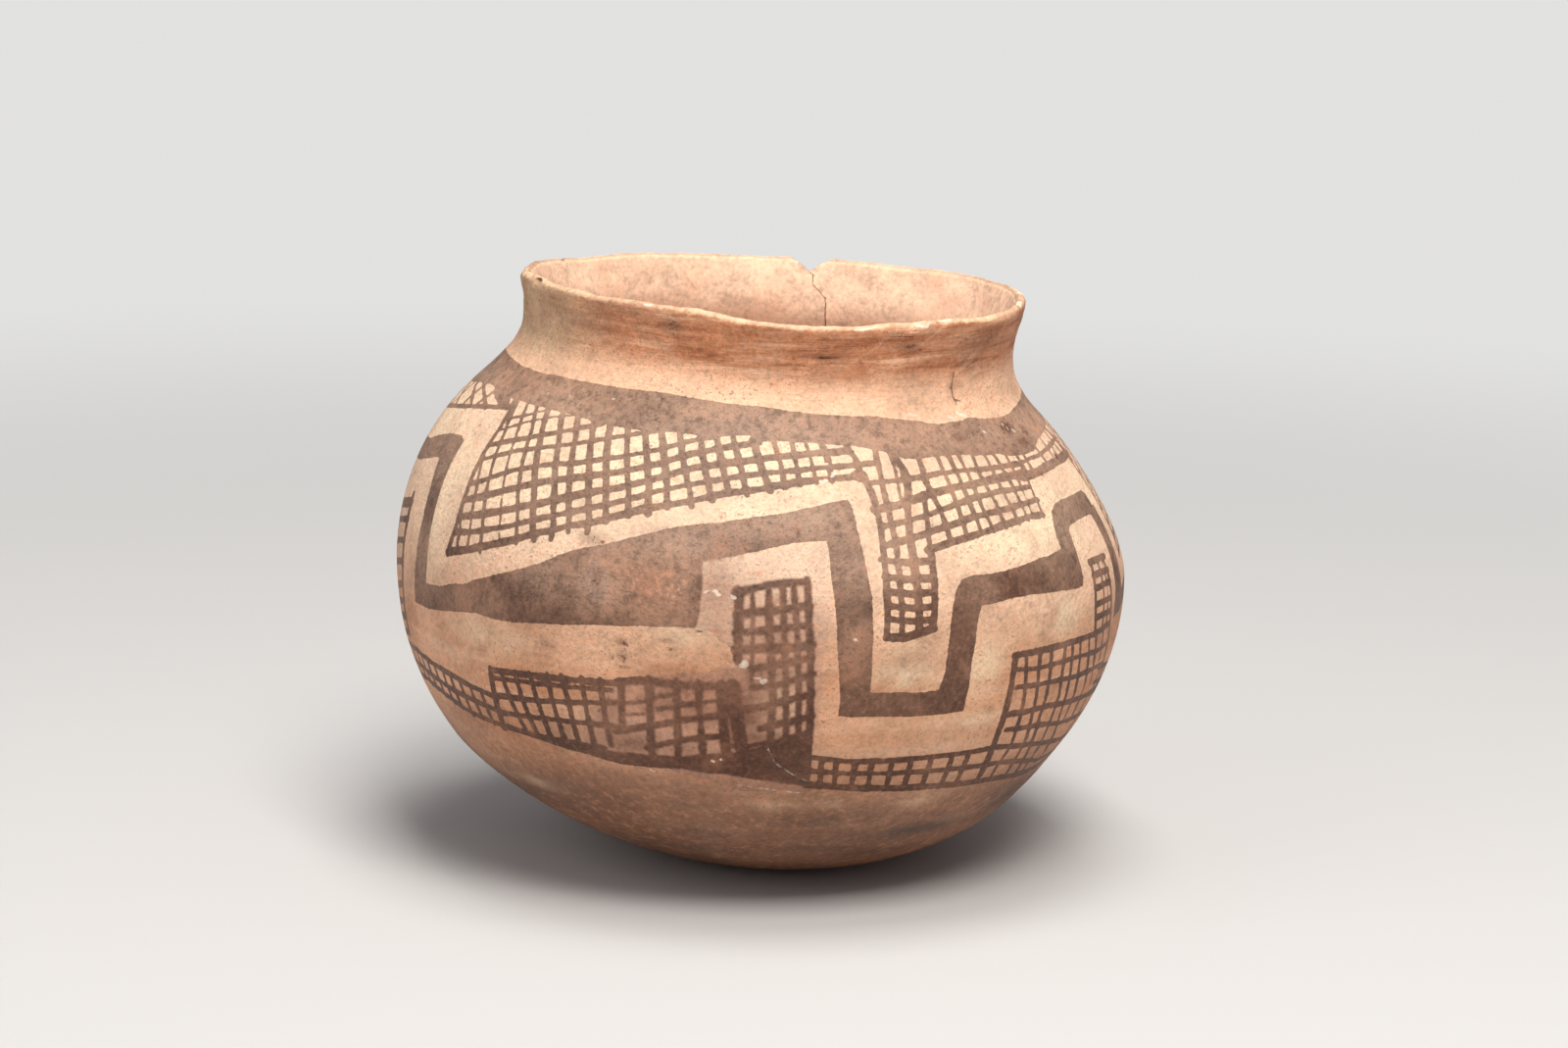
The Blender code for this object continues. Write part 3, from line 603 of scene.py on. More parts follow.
rightHatch = (
    (1.8, (19.2, 115), (20.1, 110), (20.3, 104), (19.8, 96), (19.5, 88), (19, 77)),
    (1.6, (22.7, 119.8), (22.3, 112), (22.3, 100), (21.7, 90), (21.4, 78)),
    (0.9, (25.4, 119.4), (25.6, 116.6), (25.1, 109.9)),
    (2.1, (26.3, 119), (27.4, 116), (27, 112), (25.9, 108), (24.9, 100.5), (24.5, 90), (24.2, 78)),
    (1.5, (29.8, 110.7), (29.4, 108), (28.2, 100)),
    (1.7, (31.5, 118.6), (31.1, 113), (32.1, 107), (32.2, 100)),
    (1.4, (35.8, 118.9), (35.8, 108), (35.6, 100.6)), (1.6, (38.5, 118.9), (38.6, 110), (38.8, 101.2)),
    (1.3, (41.1, 118.9), (41, 107), (41.4, 101.4)),
    (1.4, (44.6, 118.6), (43.8, 114), (44.5, 108), (44.4, 102)),
    (1.3, (48, 118.2), (47.6, 110), (47.9, 102.4)), (1.3, (50.7, 118.2), (50.9, 111), (50.5, 102.8)),
    (1.0, (54.2, 117.8), (53.3, 111.4), (52.2, 103.4)), (1.1, (56.6, 114), (55.7, 108.8), (55.1, 103)),
    (1.5, (20.4, 113.3), (24.7, 113.7), (29.4, 114.2), (34.3, 115), (40.5, 115.3), (56.2, 115.2)),
    (2.1, (19.7, 107.4), (23.9, 108.3), (28, 109.7), (31, 110.7), (37.2, 111.9), (49.2, 113),
     (56.5, 113.1)),
    (1.6, (20.5, 103.7), (25, 104.8), (30.4, 106.4), (34.1, 107.7), (39.8, 109.2), (46, 110),
     (55.8, 110)),
    (1.8, (20.5, 99.4), (24.5, 100.7), (30.7, 102.8), (37.2, 104.7), (43, 105.7), (55.9, 107)),
    (1.9, (27.5, 98), (32.4, 99.7), (38.2, 101.1), (44.2, 102.5), (50.8, 103.5), (55.3, 103.5)),
    (1.8, (28.3, 99), (27.8, 95), (27.5, 90), (27, 85), (26.5, 80), (25.9, 78.5)),
    (2.2, (19, 77.3), (22, 77), (26.5, 79)),
) + tuple(
    (1.8, (19.4, height + 0.6), (23.5, height - 0.2), (25.9 + (height - 78.5) * 0.10, height))
    for height in (95.5, 91.5, 88, 84.5, 81.3)
)
lowFill = (
    (-46, 46.2), (-38, 45.5), (-30, 44.9), (-22.5, 44.3), (-15.8, 44.5), (-11.9, 44.9), (-7.8, 46.1),
    (-4.2, 46.7), (-0.3, 48.2), (1.9, 49.8), (4.9, 52), (8.4, 53.8), (8.9, 37.4), (6.1, 38), (0.8, 39.1),
    (-4.3, 40.6), (-9.5, 40.7), (-12, 41.4), (-16.7, 40.8), (-23.1, 40.8), (-28.5, 42.4), (-38, 44),
    (-46, 45),
)
# fine strokes that repeat round the jar, then those that belong to the front alone
carriedStrokes = (
    (2.5, (54.8, 112.3), (60.8, 112.5), (65, 113), (70, 113.3), (76, 113.2), (84, 113.2)),
    (1.1, (56.5, 115.1), (61, 115.7), (66, 115.8), (70, 116.2), (76, 116.6), (84, 117)),
    (1.1, (72.5, 119), (71.9, 116), (71.7, 114)), (1.1, (75.4, 117), (74.4, 114)),
    (1.2, (78.6, 119), (78.3, 113.5)), (1.3, (57.6, 118), (57.2, 113)), (1.3, (60, 117.5), (59.6, 113)),
    (1.2, (66.6, 118), (66.8, 113.5)),
    (2.0, (-3.3, 87.2), (-2, 88.1), (1.5, 89.7), (5, 90.5), (7.3, 90.8)),
    (1.9, (-3.2, 82.3), (0.2, 83.4), (3.7, 84.1), (7.6, 85.3)),
    (1.9, (-3.2, 77.9), (0.2, 78.8), (3.6, 79.6), (7.5, 80.6)),
    (2.3, (-3.3, 73.8), (0.3, 74.4), (3.7, 74.6), (7.8, 75.6)),
    (1.9, (-0.8, 69.4), (1.5, 70.1), (4.9, 71.2), (7.8, 72.3)),
    (1.8, (-0.6, 64.6), (2.3, 65.1), (4.5, 66.1), (8.2, 68.2)),
    (1.9, (0.6, 53.7), (4.1, 55.3), (8.3, 57.1)), (1.4, (-4, 48.6), (-1.8, 48.6), (1.8, 50)),
    (2.3, (-2.9, 88), (-2.8, 80), (-2.9, 71.5)), (1.1, (-0.8, 88.2), (-0.8, 66)),
    (1.8, (1.6, 89), (1.6, 80), (1.9, 72.5), (2.4, 61.4), (2.2, 50)),
    (1.6, (3.7, 89.6), (3.7, 80.4), (4.1, 68.7), (4.6, 52)),
    (1.6, (5.3, 90), (5.6, 80.5), (6, 68.7), (6.5, 52.6)),
    (1.9, (7.4, 91.3), (7.4, 80.5), (7.8, 68.8), (8.2, 52), (8.5, 38.6)),
    (3.4, (-3.6, 64.6), (-3.0, 58), (-2.4, 50), (-2, 46)),
    (2.0, (-21.3, 63.3), (-17.6, 64.5), (-11, 64.2), (-4.2, 64.6)), (1.9, (-20.6, 63.7), (-21, 51.2)),
    (2.1, (-16.1, 65), (-16.2, 58.7), (-16.5, 50.3), (-16.9, 42)),
    (1.9, (-11.9, 65), (-12, 55.1), (-12.4, 44.3)), (1.7, (-8.7, 65), (-8.5, 55.6), (-8.3, 44.8)),
    (2.5, (-5.4, 64.9), (-5, 56.8), (-4.5, 43.8)),
    (2.0, (-22.3, 50.2), (-19, 51.7), (-15.1, 53.2), (-11.3, 55), (-7.7, 56.1), (-4.8, 57.2),
     (-1.8, 58.7), (1.2, 59.6), (4.6, 61.4), (8.1, 63)),
    (1.6, (-17.4, 46.3), (-14.7, 48), (-11.6, 49.4), (-8.6, 50.5), (-4.7, 51.4)),
    (0.9, (-20.4, 58), (-17.3, 58.9), (-14.8, 60.8), (-12.4, 61.4)), (1.3, (-15, 57.6), (-12.3, 58.3)),
    (0.8, (-20, 55.1), (-16.9, 55.9)), (1.5, (-11.5, 59.1), (-8.6, 59.6)),
    (1.0, (-7.9, 60.2), (-5.3, 60.9)), (2.0, (-45.2, 60.9), (-45.8, 45)),
    (1.8, (-45.2, 60.6), (-40.4, 61.2), (-35.6, 61.7), (-31, 62.1), (-21, 63)),
    (1.3, (-44.5, 58.7), (-35.8, 59.7), (-27, 60.6), (-22.2, 61.1)),
    (1.6, (-45.3, 54), (-36.4, 55.1), (-27.2, 56.8), (-21, 58.2)),
    (1.5, (-45, 49.4), (-42.5, 49.7), (-34.3, 50.7), (-26, 51.4), (-21, 51.4)),
    (1.7, (-46, 45.6), (-35, 45), (-25, 45)), (1.6, (-42.8, 61), (-42, 55), (-41.2, 50), (-40, 45)),
    (1.6, (-39.8, 61.5), (-39.2, 55), (-38.5, 50), (-37.8, 45.3)),
    (1.6, (-36.8, 62), (-36, 55), (-35.5, 50), (-35, 45)),
    (1.6, (-33.3, 62.4), (-33, 55), (-32.6, 50), (-32.3, 45.5)),
    (1.6, (-30.8, 63), (-30, 57), (-29.8, 50), (-29.6, 46)),
    (1.6, (-27.2, 63.2), (-26.9, 55), (-26.8, 46)), (1.6, (-24.1, 63.3), (-23.8, 56), (-23.6, 46)),
    (1.7, (-71, 57), (-63.5, 56.1), (-56.6, 55.5), (-51.2, 54.4), (-45, 53.5)),
    (1.7, (-71, 52.8), (-66, 52.3), (-58, 51.2), (-50, 50.3), (-45, 49.6)),
    (1.7, (-71, 49.6), (-65, 49), (-60, 48), (-55, 46.6), (-50, 46), (-45, 45.5)),
    (1.8, (8.5, 46), (14.8, 44.4), (22.2, 43.8), (30, 43.8), (36.8, 43.7), (43, 43.7), (50.6, 42),
     (56.9, 40.6), (66.6, 38.4), (78.5, 37.6)),
    (1.7, (8.8, 42), (16.1, 40.7), (23.8, 40), (33.1, 39.4), (41.8, 38.7), (47.1, 38.2), (54.4, 36.3),
     (61.9, 34), (73, 33.6)),
    (2.4, (8.6, 38), (15.9, 36.6), (25, 35.2), (35, 34.4), (47.6, 32.9), (60, 31), (66, 31), (74, 34.2),
     (83, 41.6), (92, 49.6)),
    (2.2, (42.1, 69.2), (42.1, 64.7), (42.2, 58.2), (42.3, 51.8), (42.3, 45.7), (42.7, 39.7), (43.2, 35)),
    (1.9, (41.8, 69.3), (49.5, 69.2), (54.9, 69.4), (59.3, 69.2), (64.5, 69.2), (71.3, 69.7)),
    (1.4, (42.8, 65.2), (47.7, 64.2), (52.4, 64.4), (58, 64.4), (66.6, 63.4), (72, 63.8)),
    (1.6, (43.5, 60.2), (48.5, 59.5), (53.6, 59.2), (59.9, 58.5), (69.1, 58), (73, 57.6)),
    (1.9, (43.4, 52.8), (47.3, 52.4), (53.5, 52.3), (60.4, 51.1), (67.4, 50.3), (79, 50), (92, 50)),
    (1.6, (43.9, 48.3), (47.9, 47.7), (52.8, 47.2), (61.1, 45.1), (69.5, 44.1), (77, 43.6), (85.5, 43.8)),
    (1.4, (44.5, 69), (45, 63.2), (46, 55.4), (46.6, 48.4), (47.2, 42.4), (46.5, 38), (46.9, 34)),
    (1.4, (47.6, 69), (48.1, 62.4), (49.1, 55.3), (49.6, 50.2), (51, 43.1), (51.4, 37.4), (51.9, 33)),
    (1.4, (50.3, 69), (51.2, 61.5), (51.8, 55.2), (52, 49.6), (53.4, 42.9), (54.9, 36), (55.6, 32)),
    (1.4, (54, 69), (54.5, 62), (55.8, 54), (56.1, 49.4), (56.7, 44.7), (57.8, 38), (58.6, 31.6)),
    (1.4, (56.1, 69), (57.4, 59.6), (58.5, 52.8), (59, 48.5), (61.6, 41), (63, 36)),
    (1.3, (58.5, 69), (59.9, 61.2), (61.7, 53.3), (62.2, 46)),
    (1.3, (61.6, 69), (63.1, 61.7), (65.3, 54), (66, 46)), (1.2, (64.3, 69), (66, 61), (68.6, 53)),
    (1.2, (67.7, 69), (69, 60)), (1.6, (71.3, 70), (72, 64), (72.8, 57.5)), (1.1, (70, 50), (70.4, 32.6)),
    (1.1, (74, 50), (74.6, 34.6)), (1.1, (78, 50), (78.4, 37.8)), (1.1, (82, 50), (82.4, 41)),
    (1.1, (86, 50), (86.4, 44.5)),
)
hangingStrokes = (
    (1.6, (64, 89.2), (63.4, 82), (63.1, 77), (63.7, 70)), (1.1, (66.8, 89.3), (66.8, 70)),
    (0.9, (68.6, 89), (68.9, 70)), (1.6, (69.2, 89.6), (70.3, 82.3), (70.9, 76), (71.3, 70)),
) + tuple(
    (1.9, (63.4, height), (67, height + 0.1), (70.6, height - 0.2))
    for height in (89.1, 85.4, 81.9, 77.4, 73.6)
)
frontStrokes = (
    (1.5, (-96, 110.5), (-83, 113.4), (-73.6, 115.5), (-70.3, 116.4), (-65.4, 117.6), (-62.7, 118.2),
     (-57.6, 119.2)),
    (1.2, (-76, 121.3), (-68.3, 118.9), (-64.8, 117.3)),
    (1.2, (-80.5, 120.2), (-75.3, 118.1), (-71, 116.2)), (1.2, (-88, 118.8), (-80.5, 114.1)),
    (1.2, (-95, 117.5), (-88, 112.6)), (1.2, (-69.8, 116.7), (-68.4, 118.9), (-67.4, 121.2)),
    (1.2, (-76, 115.2), (-75.6, 118), (-74, 121)), (1.2, (-84.5, 113.2), (-82.8, 120)),
    (1.2, (-91, 111.6), (-89.5, 119.5)), (2.6, (-66, 121.4), (-62.4, 120.3), (-59, 119.4)),
    (1.6, (-61.1, 121.6), (-58, 119)), (2.6, (-75, 93.3), (-74.8, 75), (-75.2, 60)),
    (2.5, (-94, 86), (-84, 88.8), (-74.5, 91.8)), (1.6, (-83, 90), (-83.2, 57)),
    (1.6, (-89, 88), (-89.2, 56)), (1.8, (-94.5, 87), (-94.7, 52)),
    (1.7, (-96, 53.5), (-84, 55.6), (-78, 56.5), (-71, 57)), (1.6, (-96, 50), (-84, 51.8), (-71, 52.8)),
    (1.8, (-96, 46.6), (-84, 48), (-78, 48.9), (-71, 49.6)),
) + tuple(
    (1.7, (-94, height - 5.3), (-84, height - 3), (-74.5, height))
    for height in (87.8, 82.8, 77.8, 72.2, 68.3, 64.5, 60.5)
) + tuple(
    (1.5, (turn, 57.2), (turn + 0.5, 49.6 + (turn + 71) * 0.12))
    for turn in (-72, -75, -78, -81, -84.5, -88)
)
# rows of short strokes down a double line: their turns, where its two strokes start, how far they
# lean back at the top and how far they run past it at the bottom
downStrokes = (
    ((-69, -66, -63, -59.9, -57.2, -54.3, -51.4, -48.5), ((-71, 57), (-71, 49.6)), 0.3, 0.5),
    ((10.7, 13.2, 16.3, 19.3, 22.8, 26.3, 30, 34.1, 37.5), ((8.5, 46), (8.6, 38)), 0.2, 0.55),
)
# behind, two copies of the front unit take up the turns from "start" to "last"
backUnit = {
    "start": 75.0, "last": 264.0, "unsqueezed": 265.0, "from": -65.0, "length": 140.0,
    "spare": 6.0, "overlap": 1.2, "thinner": 0.84,
}


def lineAt(points, turn):
    return float(np.interp(turn, [point[0] for point in points], [point[1] for point in points]))


def carriedShapes(fret=fretShape):
    shapes = [(0, *fret), (0, *lowFill), *bigHatch, *rightHatch]
    for turns, starts, lean, past in downStrokes:
        upper, lower = (stroke[1:] for stroke in carriedStrokes if stroke[1] in starts)
        for turn in turns:
            top, bottom = (turn - lean, lineAt(upper, turn)), (turn + 0.3, lineAt(lower, turn) - past)
            shapes.append((1.6, top, bottom))
    return shapes + list(carriedStrokes)


frontShapes = carriedShapes() + [(0, *leftBar), (0, *rightLeg)]
frontShapes += list(hangingStrokes) + list(frontStrokes)
brushwork = [(0, *bandTop, *bandLow[::-1])] + frontShapes
squeeze = (backUnit["last"] - backUnit["start"]) / backUnit["unsqueezed"]


def carriedRound(shapes, start, last):
    # the same shapes set round the back from a start, squeezed to fit, up to a last turn
    low = start - backUnit["spare"] * squeeze
    carried = []
    for width, *points in shapes:
        moved = [(start + (turn - backUnit["from"]) * squeeze, height) for turn, height in points]
        if all(turn > last for turn, _ in moved) or all(turn < low for turn, _ in moved):
            continue
        kept = ((min(max(turn, low), last), height) for turn, height in moved)
        carried.append((width * backUnit["thinner"], *kept))
    return carried


# the fret behind hangs from the end of the one before it, as at the right edge of the front
backFret = ((-65.5, 104.6), (-63.6, 104.4), *fretShape[2:])
backMiddle = backUnit["start"] + backUnit["length"] * squeeze
brushwork += carriedRound(
    carriedShapes(backFret) + list(hangingStrokes), backUnit["start"], backMiddle + backUnit["overlap"],
)
brushwork += carriedRound(carriedShapes(backFret), backMiddle, backUnit["last"])


def upTo(height):  # millimetres of height to metres along the outside line and on over the lip
    return alongAt(height * mm) + np.maximum(height * mm - rimEdge, 0.0)


def distanceTo(turn, along, radius, shapes, farthest=3.0):
    # millimetres to the edge of the nearest shape, less than nothing inside one
    nearest = np.full(len(turn), farthest)
    for width, *points in shapes:
        points = np.array(points, float)
        middle = (points[:, 0].min() + points[:, 0].max()) / 2.0
        cornerTurn, cornerAlong = points[:, 0] - middle, upTo(points[:, 1])
        reach = width / 2.0 + farthest
        off = around(turn - middle)
        spare = np.degrees(reach * mm / np.maximum(radius, 10.0 * mm))
        near = (off > cornerTurn.min() - spare) & (off < cornerTurn.max() + spare)
        near &= (along > cornerAlong.min() - reach * mm) & (along < cornerAlong.max() + reach * mm)
        if not near.any():
            continue
        perDegree = np.radians(1.0) * radius[near] / mm
        x, y = off[near] * perDegree, along[near] / mm
        best = np.full(len(x), np.inf)
        inside = np.zeros(len(x), bool)
        ends = list(zip(cornerTurn, cornerAlong / mm))
        following = ends[1:] + (ends[:1] if width == 0 else [])
        for (turnA, ay), (turnB, by) in zip(ends, following):
            ax, bx = turnA * perDegree, turnB * perDegree
            dx, dy = bx - ax, by - ay
            share = ((x - ax) * dx + (y - ay) * dy) / np.maximum(dx * dx + dy * dy, tiny)
            share = np.clip(share, 0.0, 1.0)
            best = np.minimum(best, (x - ax - share * dx) ** 2 + (y - ay - share * dy) ** 2)
            if width == 0 and ay != by:
                inside ^= ((ay > y) != (by > y)) & (x < ax + (y - ay) * dx / dy)
        distance = np.sqrt(best) * np.where(inside, -1.0, 1.0) - width / 2.0
        nearest[near] = np.minimum(nearest[near], distance)
    return nearest


def blotches(turn, along, spots):
    # how strongly a soft patch lies on each point; a spot is (turn, height, half turn, half height, strength)
    found = np.zeros(len(turn))
    for spotTurn, height, halfTurn, halfHeight, strength in spots:
        off = around(turn - spotTurn)
        up = (along - float(upTo(height))) / mm
        found = np.maximum(found, strength * np.exp(-(off / halfTurn) ** 2 - (up / halfHeight) ** 2))
    return found


# Wear as spots of (turn, height in mm, half turn, half height, strength), and cracks and pale
# chips drawn like the brushwork
surface = {
    "worn": (
        (-17, 88, 11, 9, 1.0), (-27, 86, 7, 7, 0.7), (22, 112, 6, 8, 0.6), (24, 97, 4, 8, 0.35),
        (27, 122, 11, 4, 0.5), (13, 101, 5, 9, 0.5), (14, 72, 4, 10, 0.5), (38, 111, 6, 5, 0.3),
        (50, 108, 6, 6, 0.25), (-45, 76, 10, 4, 0.3), (3, 76, 6, 8, 0.6), (75, 121, 7, 4, 0.7),
        (-62, 124, 12, 4, 0.7), (-10, 126, 8, 2.5, 0.4), (-4, 103, 9, 3, 0.5), (-1, 60, 4, 5, 0.6),
        (-22, 53, 6, 5, 0.5), (130, 92, 12, 10, 0.6), (205, 84, 14, 9, 0.6), (160, 124, 12, 4, 0.5),
        (230, 60, 12, 6, 0.5),
    ),
    "cream": (
        (-42, 108, 16, 13, 1.0), (-22, 113, 14, 8, 1.0), (2, 116, 14, 6, 0.9), (-62, 96, 5, 20, 0.7),
        (38, 108, 12, 8, 0.75), (56, 100, 8, 9, 0.9), (-45, 68.6, 8, 4, 0.5), (-11.5, 76, 5, 3, 0.4),
        (36, 68, 4, 7, 0.6), (52.5, 78, 6, 6, 0.6), (34.5, 52.3, 8, 3, 0.45), (77, 105, 6, 8, 0.6),
        (46, 101, 6, 4, 0.4), (3.5, 31.5, 5, 2.5, 0.5), (12, 31.4, 5, 2.4, 0.5), (31, 30.5, 5, 3, 0.6),
        (41, 21.7, 5, 2.4, 0.4), (-46, 29.6, 6, 3, 0.6), (44, 98, 10, 4, 0.7), (8, 106, 14, 3, 0.6),
        (22, 67, 5, 3.5, 0.8), (22, 78, 4, 20, 0.35), (-76, 112, 10, 8, 0.8), (-33, 127, 60, 2, 0.2),
        (150, 108, 20, 12, 0.8), (230, 108, 24, 10, 0.7), (4, 62, 4, 8, 0.3),
    ),
    # sooty patches with painted shade: the wide spots low down darken the base all round, where little light
    # reaches
    "soot": (
        (-57, 25, 14, 7, 0.65), (-42, 31, 18, 5, 0.40), (-20, 14, 14, 4, 0.45), (26, 13, 10, 3, 0.5),
        (-75, 34, 14, 8, 0.6), (18, 26.5, 13, 3.2, 0.75), (34, 20, 18, 5, 0.85), (62, 24, 16, 8, 0.8),
        (49, 25, 2, 1.5, 0.5), (10, 16, 10, 3, 0.6), (-12, 20, 14, 3, 0.4), (160, 20, 40, 14, 0.6),
        (0, 6, 180, 8, 0.3), (-110, 26, 25, 12, 0.6), (-12, 30, 8, 3, 0.3), (-22, 129, 10, 3, 0.10),
    ),
    "dirt": (
        (44.2, 122, 2.4, 1.8, 0.8), (61.5, 122.6, 3.4, 2.6, 1.0), (64, 119.4, 3.6, 2.4, 0.9),
        (68, 121, 1.6, 2.6, 0.8), (73.6, 114.2, 1.3, 1.2, 0.9), (78.5, 114, 1.2, 1.0, 0.7),
        (62, 112, 1.6, 1.4, 0.6), (-20.5, 73.4, 1.4, 1.4, 0.8), (-20.4, 70, 1.5, 2.4, 0.8),
        (-19.9, 67.3, 1.2, 0.8, 0.7), (-22, 69.5, 1, 1.4, 0.6), (-13.6, 74.8, 1.8, 1.0, 0.62),
        (-12.6, 72.8, 1.3, 1.1, 0.6), (-33.3, 69.9, 2.4, 1.6, 0.6), (-37, 66.5, 1.4, 1.0, 0.5),
        (-23, 144.4, 3.2, 1.5, 1.0), (-21.5, 142.4, 4.5, 0.8, 0.65), (-2.8, 134.6, 1.8, 0.9, 0.55),
        (1.2, 133.9, 0.8, 0.5, 0.7), (11.9, 141.3, 4.6, 0.8, 0.8), (14.5, 139.6, 5, 0.5, 0.55),
        (31.8, 143, 3.4, 0.9, 0.95), (33, 141.6, 4.2, 0.8, 0.7), (37.9, 138.8, 1.6, 0.6, 0.6),
        (-44, 144.6, 3.5, 0.8, 0.5), (-35, 145.6, 2, 0.5, 0.5), (47, 133, 1.2, 3.4, 0.5),
        (-26.4, 96, 3.2, 2.2, 0.7), (-25, 87.4, 1.2, 3.2, 0.7), (-70.5, 148.6, 2.2, 0.8, 1.1),
        (56, 143, 20, 5, 0.60), (36, 142, 9, 4, 0.40), (0, 143.6, 6, 3, 0.3), (-47, 142, 8, 5, 0.3),
        (-10, 132.6, 3, 1.2, 0.3), (-62, 124, 14, 3, 0.36), (-20, 125, 16, 2.5, 0.36),
        (36, 122, 8, 2.6, 0.42), (22, 60, 4, 2.4, 0.30), (-25, 43, 20, 2.2, 0.34),
        (48.6, 25, 2.4, 1.2, 0.8), (14, 72, 3.5, 10, 0.32), (45, 89, 10, 3, 0.34), (-55, 80, 12, 4, 0.30),
        (140, 110, 12, 8, 0.35), (200, 70, 20, 12, 0.30), (100, 60, 14, 10, 0.28),
    ),
    "toned": (
        (-1.8, 58, 4.2, 9, 1.0), (2, 68, 5, 4, 0.75), (-20.5, 47.5, 6, 3.6, 0.9), (-24, 55, 3.4, 6, 0.6),
        (-10, 60, 8, 6, 0.45), (2, 78, 6, 10, 0.4), (-6, 88, 4, 9, 0.55), (23, 71, 5, 3.6, 0.5),
        (26, 76, 2.6, 4, 0.4), (-31, 48, 7, 4, 0.5), (0, 51, 5, 3, 0.8), (5, 47, 4, 6, 0.5),
        (-12, 47, 5, 3, 0.5), (-21.6, 36, 8, 3.5, 0.55), (-12, 35.6, 7, 3, 0.65),
        (-57.6, 44.8, 7, 5, 0.55), (42, 31, 8, 3, 0.40), (21, 29.4, 5, 2.4, 0.45), (18, 21, 9, 3, 0.5),
        (-12.5, 20.3, 8, 3, 0.5), (-100, 149.5, 14, 3, 0.6), (-40, 148.4, 10, 1.6, 0.55),
        (0, 147.4, 6, 1.2, 0.4),
    ),
    "fresh": (
        (33, 80, 4, 14, 0.9), (45, 88, 7, 5, 0.6), (18, 60, 5, 4, 0.3), (150, 74, 8, 12, 0.6),
        (240, 76, 8, 12, 0.6),
    ),
    "faded": (
        (-25, 86, 5, 4, 1.0), (-35, 86, 6, 5, 0.6), (-12, 98, 7, 4, 0.6), (7, 105, 6, 4, 0.7),
        (14, 92, 4, 8, 0.35), (14, 76, 4, 6, 0.3), (58, 97, 4, 5, 0.9), (-66, 102, 6, 6, 0.6),
        (-69, 109, 6, 5, 0.5), (-62, 84, 4, 8, 0.4), (5, 46, 3, 4, 0.22), (150, 96, 10, 6, 0.6),
        (215, 90, 8, 6, 0.6),
    ),
    "hollow": (  # here the last value is how deep, in millimetres
        (31, 142.2, 8, 2.0, 1.0), (30, 147, 9, 1.3, -0.5), (12, 140.8, 7, 1.0, 0.45),
        (-23, 144, 4, 1.6, 0.5), (47, 131, 1.3, 3.6, 0.5), (-70.6, 148.4, 2.2, 1.1, 1.7),
        (-78, 146.6, 4, 0.8, 0.3), (-2.8, 134.6, 1.4, 0.9, 0.4), (64, 120.8, 3.6, 2.8, 0.6),
        (44.2, 122, 1.8, 1.4, 0.35), (-20.5, 70.5, 1.5, 3.2, 0.35), (-33.3, 70, 1.5, 1.3, 0.25),
        (-13.3, 74.4, 1.6, 1.3, 0.25), (-25, 88, 0.8, 3, 0.3), (52, 136, 6, 4, -0.5),
        (-50, 141, 10, 2.6, 0.4),
    ),
    "crack": (
        (0.35, (47.2, 138), (46.9, 133), (47.5, 130.2), (47.9, 128.5)), (0.3, (46.9, 133), (45.8, 132.2)),
        (0.3, (47.5, 130.2), (49.2, 129.6)),
        (0.3, (-8.9, 77.6), (-6.3, 77.8), (-5.7, 75.6), (-3.4, 73.9), (-3.2, 71.2)),
        (0.1, (-21.4, 63.6), (-23.4, 57.4), (-26.1, 53.4), (-28.6, 47.4)),
        (0.15, (171.4, 146), (169, 142), (165.8, 139), (163.8, 132)), (0.3, (-67, 147.9), (-72, 148.5)),
        (0.2, (24, 145.6), (31, 145.9), (39, 146.6)), (0.1, (5, 140.4), (12, 141), (19, 140.6)),
        (0.1, (3, 138.4), (14, 139.4), (20, 139)), (0.1, (-34, 146), (-20, 146.2)),
        (0.2, (2.4, 47.6), (3.6, 43.6), (6.2, 40.4), (9.2, 38)),
    ),
    "pale": (
        (0.9, (46.5, 127.3), (49, 126.4)), (0.7, (43.6, 126.6), (44.8, 126.2)),
        (0.5, (33, 127.6), (35, 127.2)), (0.1, (8, 87.7), (12, 87.6)),
        (0.15, (1.9, 48.4), (3.1, 44.3), (5.6, 41.2), (8.7, 38.9)), (1.6, (-2.1, 70.1), (-1.9, 70.4)),
        (1.0, (0.7, 66.1), (1.2, 66.3)), (0.4, (-0.5, 66.9), (0.4, 66.9)),
        (1.0, (-6.2, 87.4), (-5.8, 86.8)), (0.5, (-8, 87.1), (-6.6, 87.6)),
        (0.7, (-3.8, 86.7), (-3.5, 86.2)), (1.0, (11.2, 113.2), (12.2, 113.6)),
        (0.7, (13.2, 114.6), (13.8, 115.2)), (0.5, (12.3, 117), (12.9, 117.2)),
        (0.2, (-9.1, 78.6), (-7.9, 78.2)), (0.2, (-6.2, 76.6), (-5.6, 75.9)),
        (0.1, (-5, 75.1), (-3.8, 74.6)), (0.7, (17.6, 148.9), (19.6, 148.5), (21.9, 149)),
        (0.5, (22.4, 149.2), (23.6, 149)), (0.8, (32.6, 149.1), (34.2, 148.3), (35.6, 148)),
        (0.7, (36.4, 149), (37.6, 149)), (1.0, (40, 149.9), (43.5, 149.6)), (1.8, (97, 150), (99, 149.2)),
        (0.8, (-30, 149), (-28.4, 149.2)), (0.5, (-6.9, 44.1), (-6.4, 43.9)),
        (0.5, (-5.6, 44.7), (-5.2, 44.9)), (0.3, (-17.6, 40.2), (-17, 39.8)),
        (0.1, (-3.1, 37.5), (2.2, 36.4), (7.6, 35.4)), (0.6, (14.2, 76.9), (14.6, 76.6)),
        (0.1, (-25.2, 91), (-25, 89)), (2.2, (79, 149.6), (84, 150.2)),
        (0.2, (-43.4, 124.9), (-42.2, 124.8)), (0.3, (-33, 126.2), (-31.6, 126.1)),
        (0.1, (-49.8, 124.4), (-49.2, 124.4)), (0.4, (63.4, 122), (64.2, 121.6)),
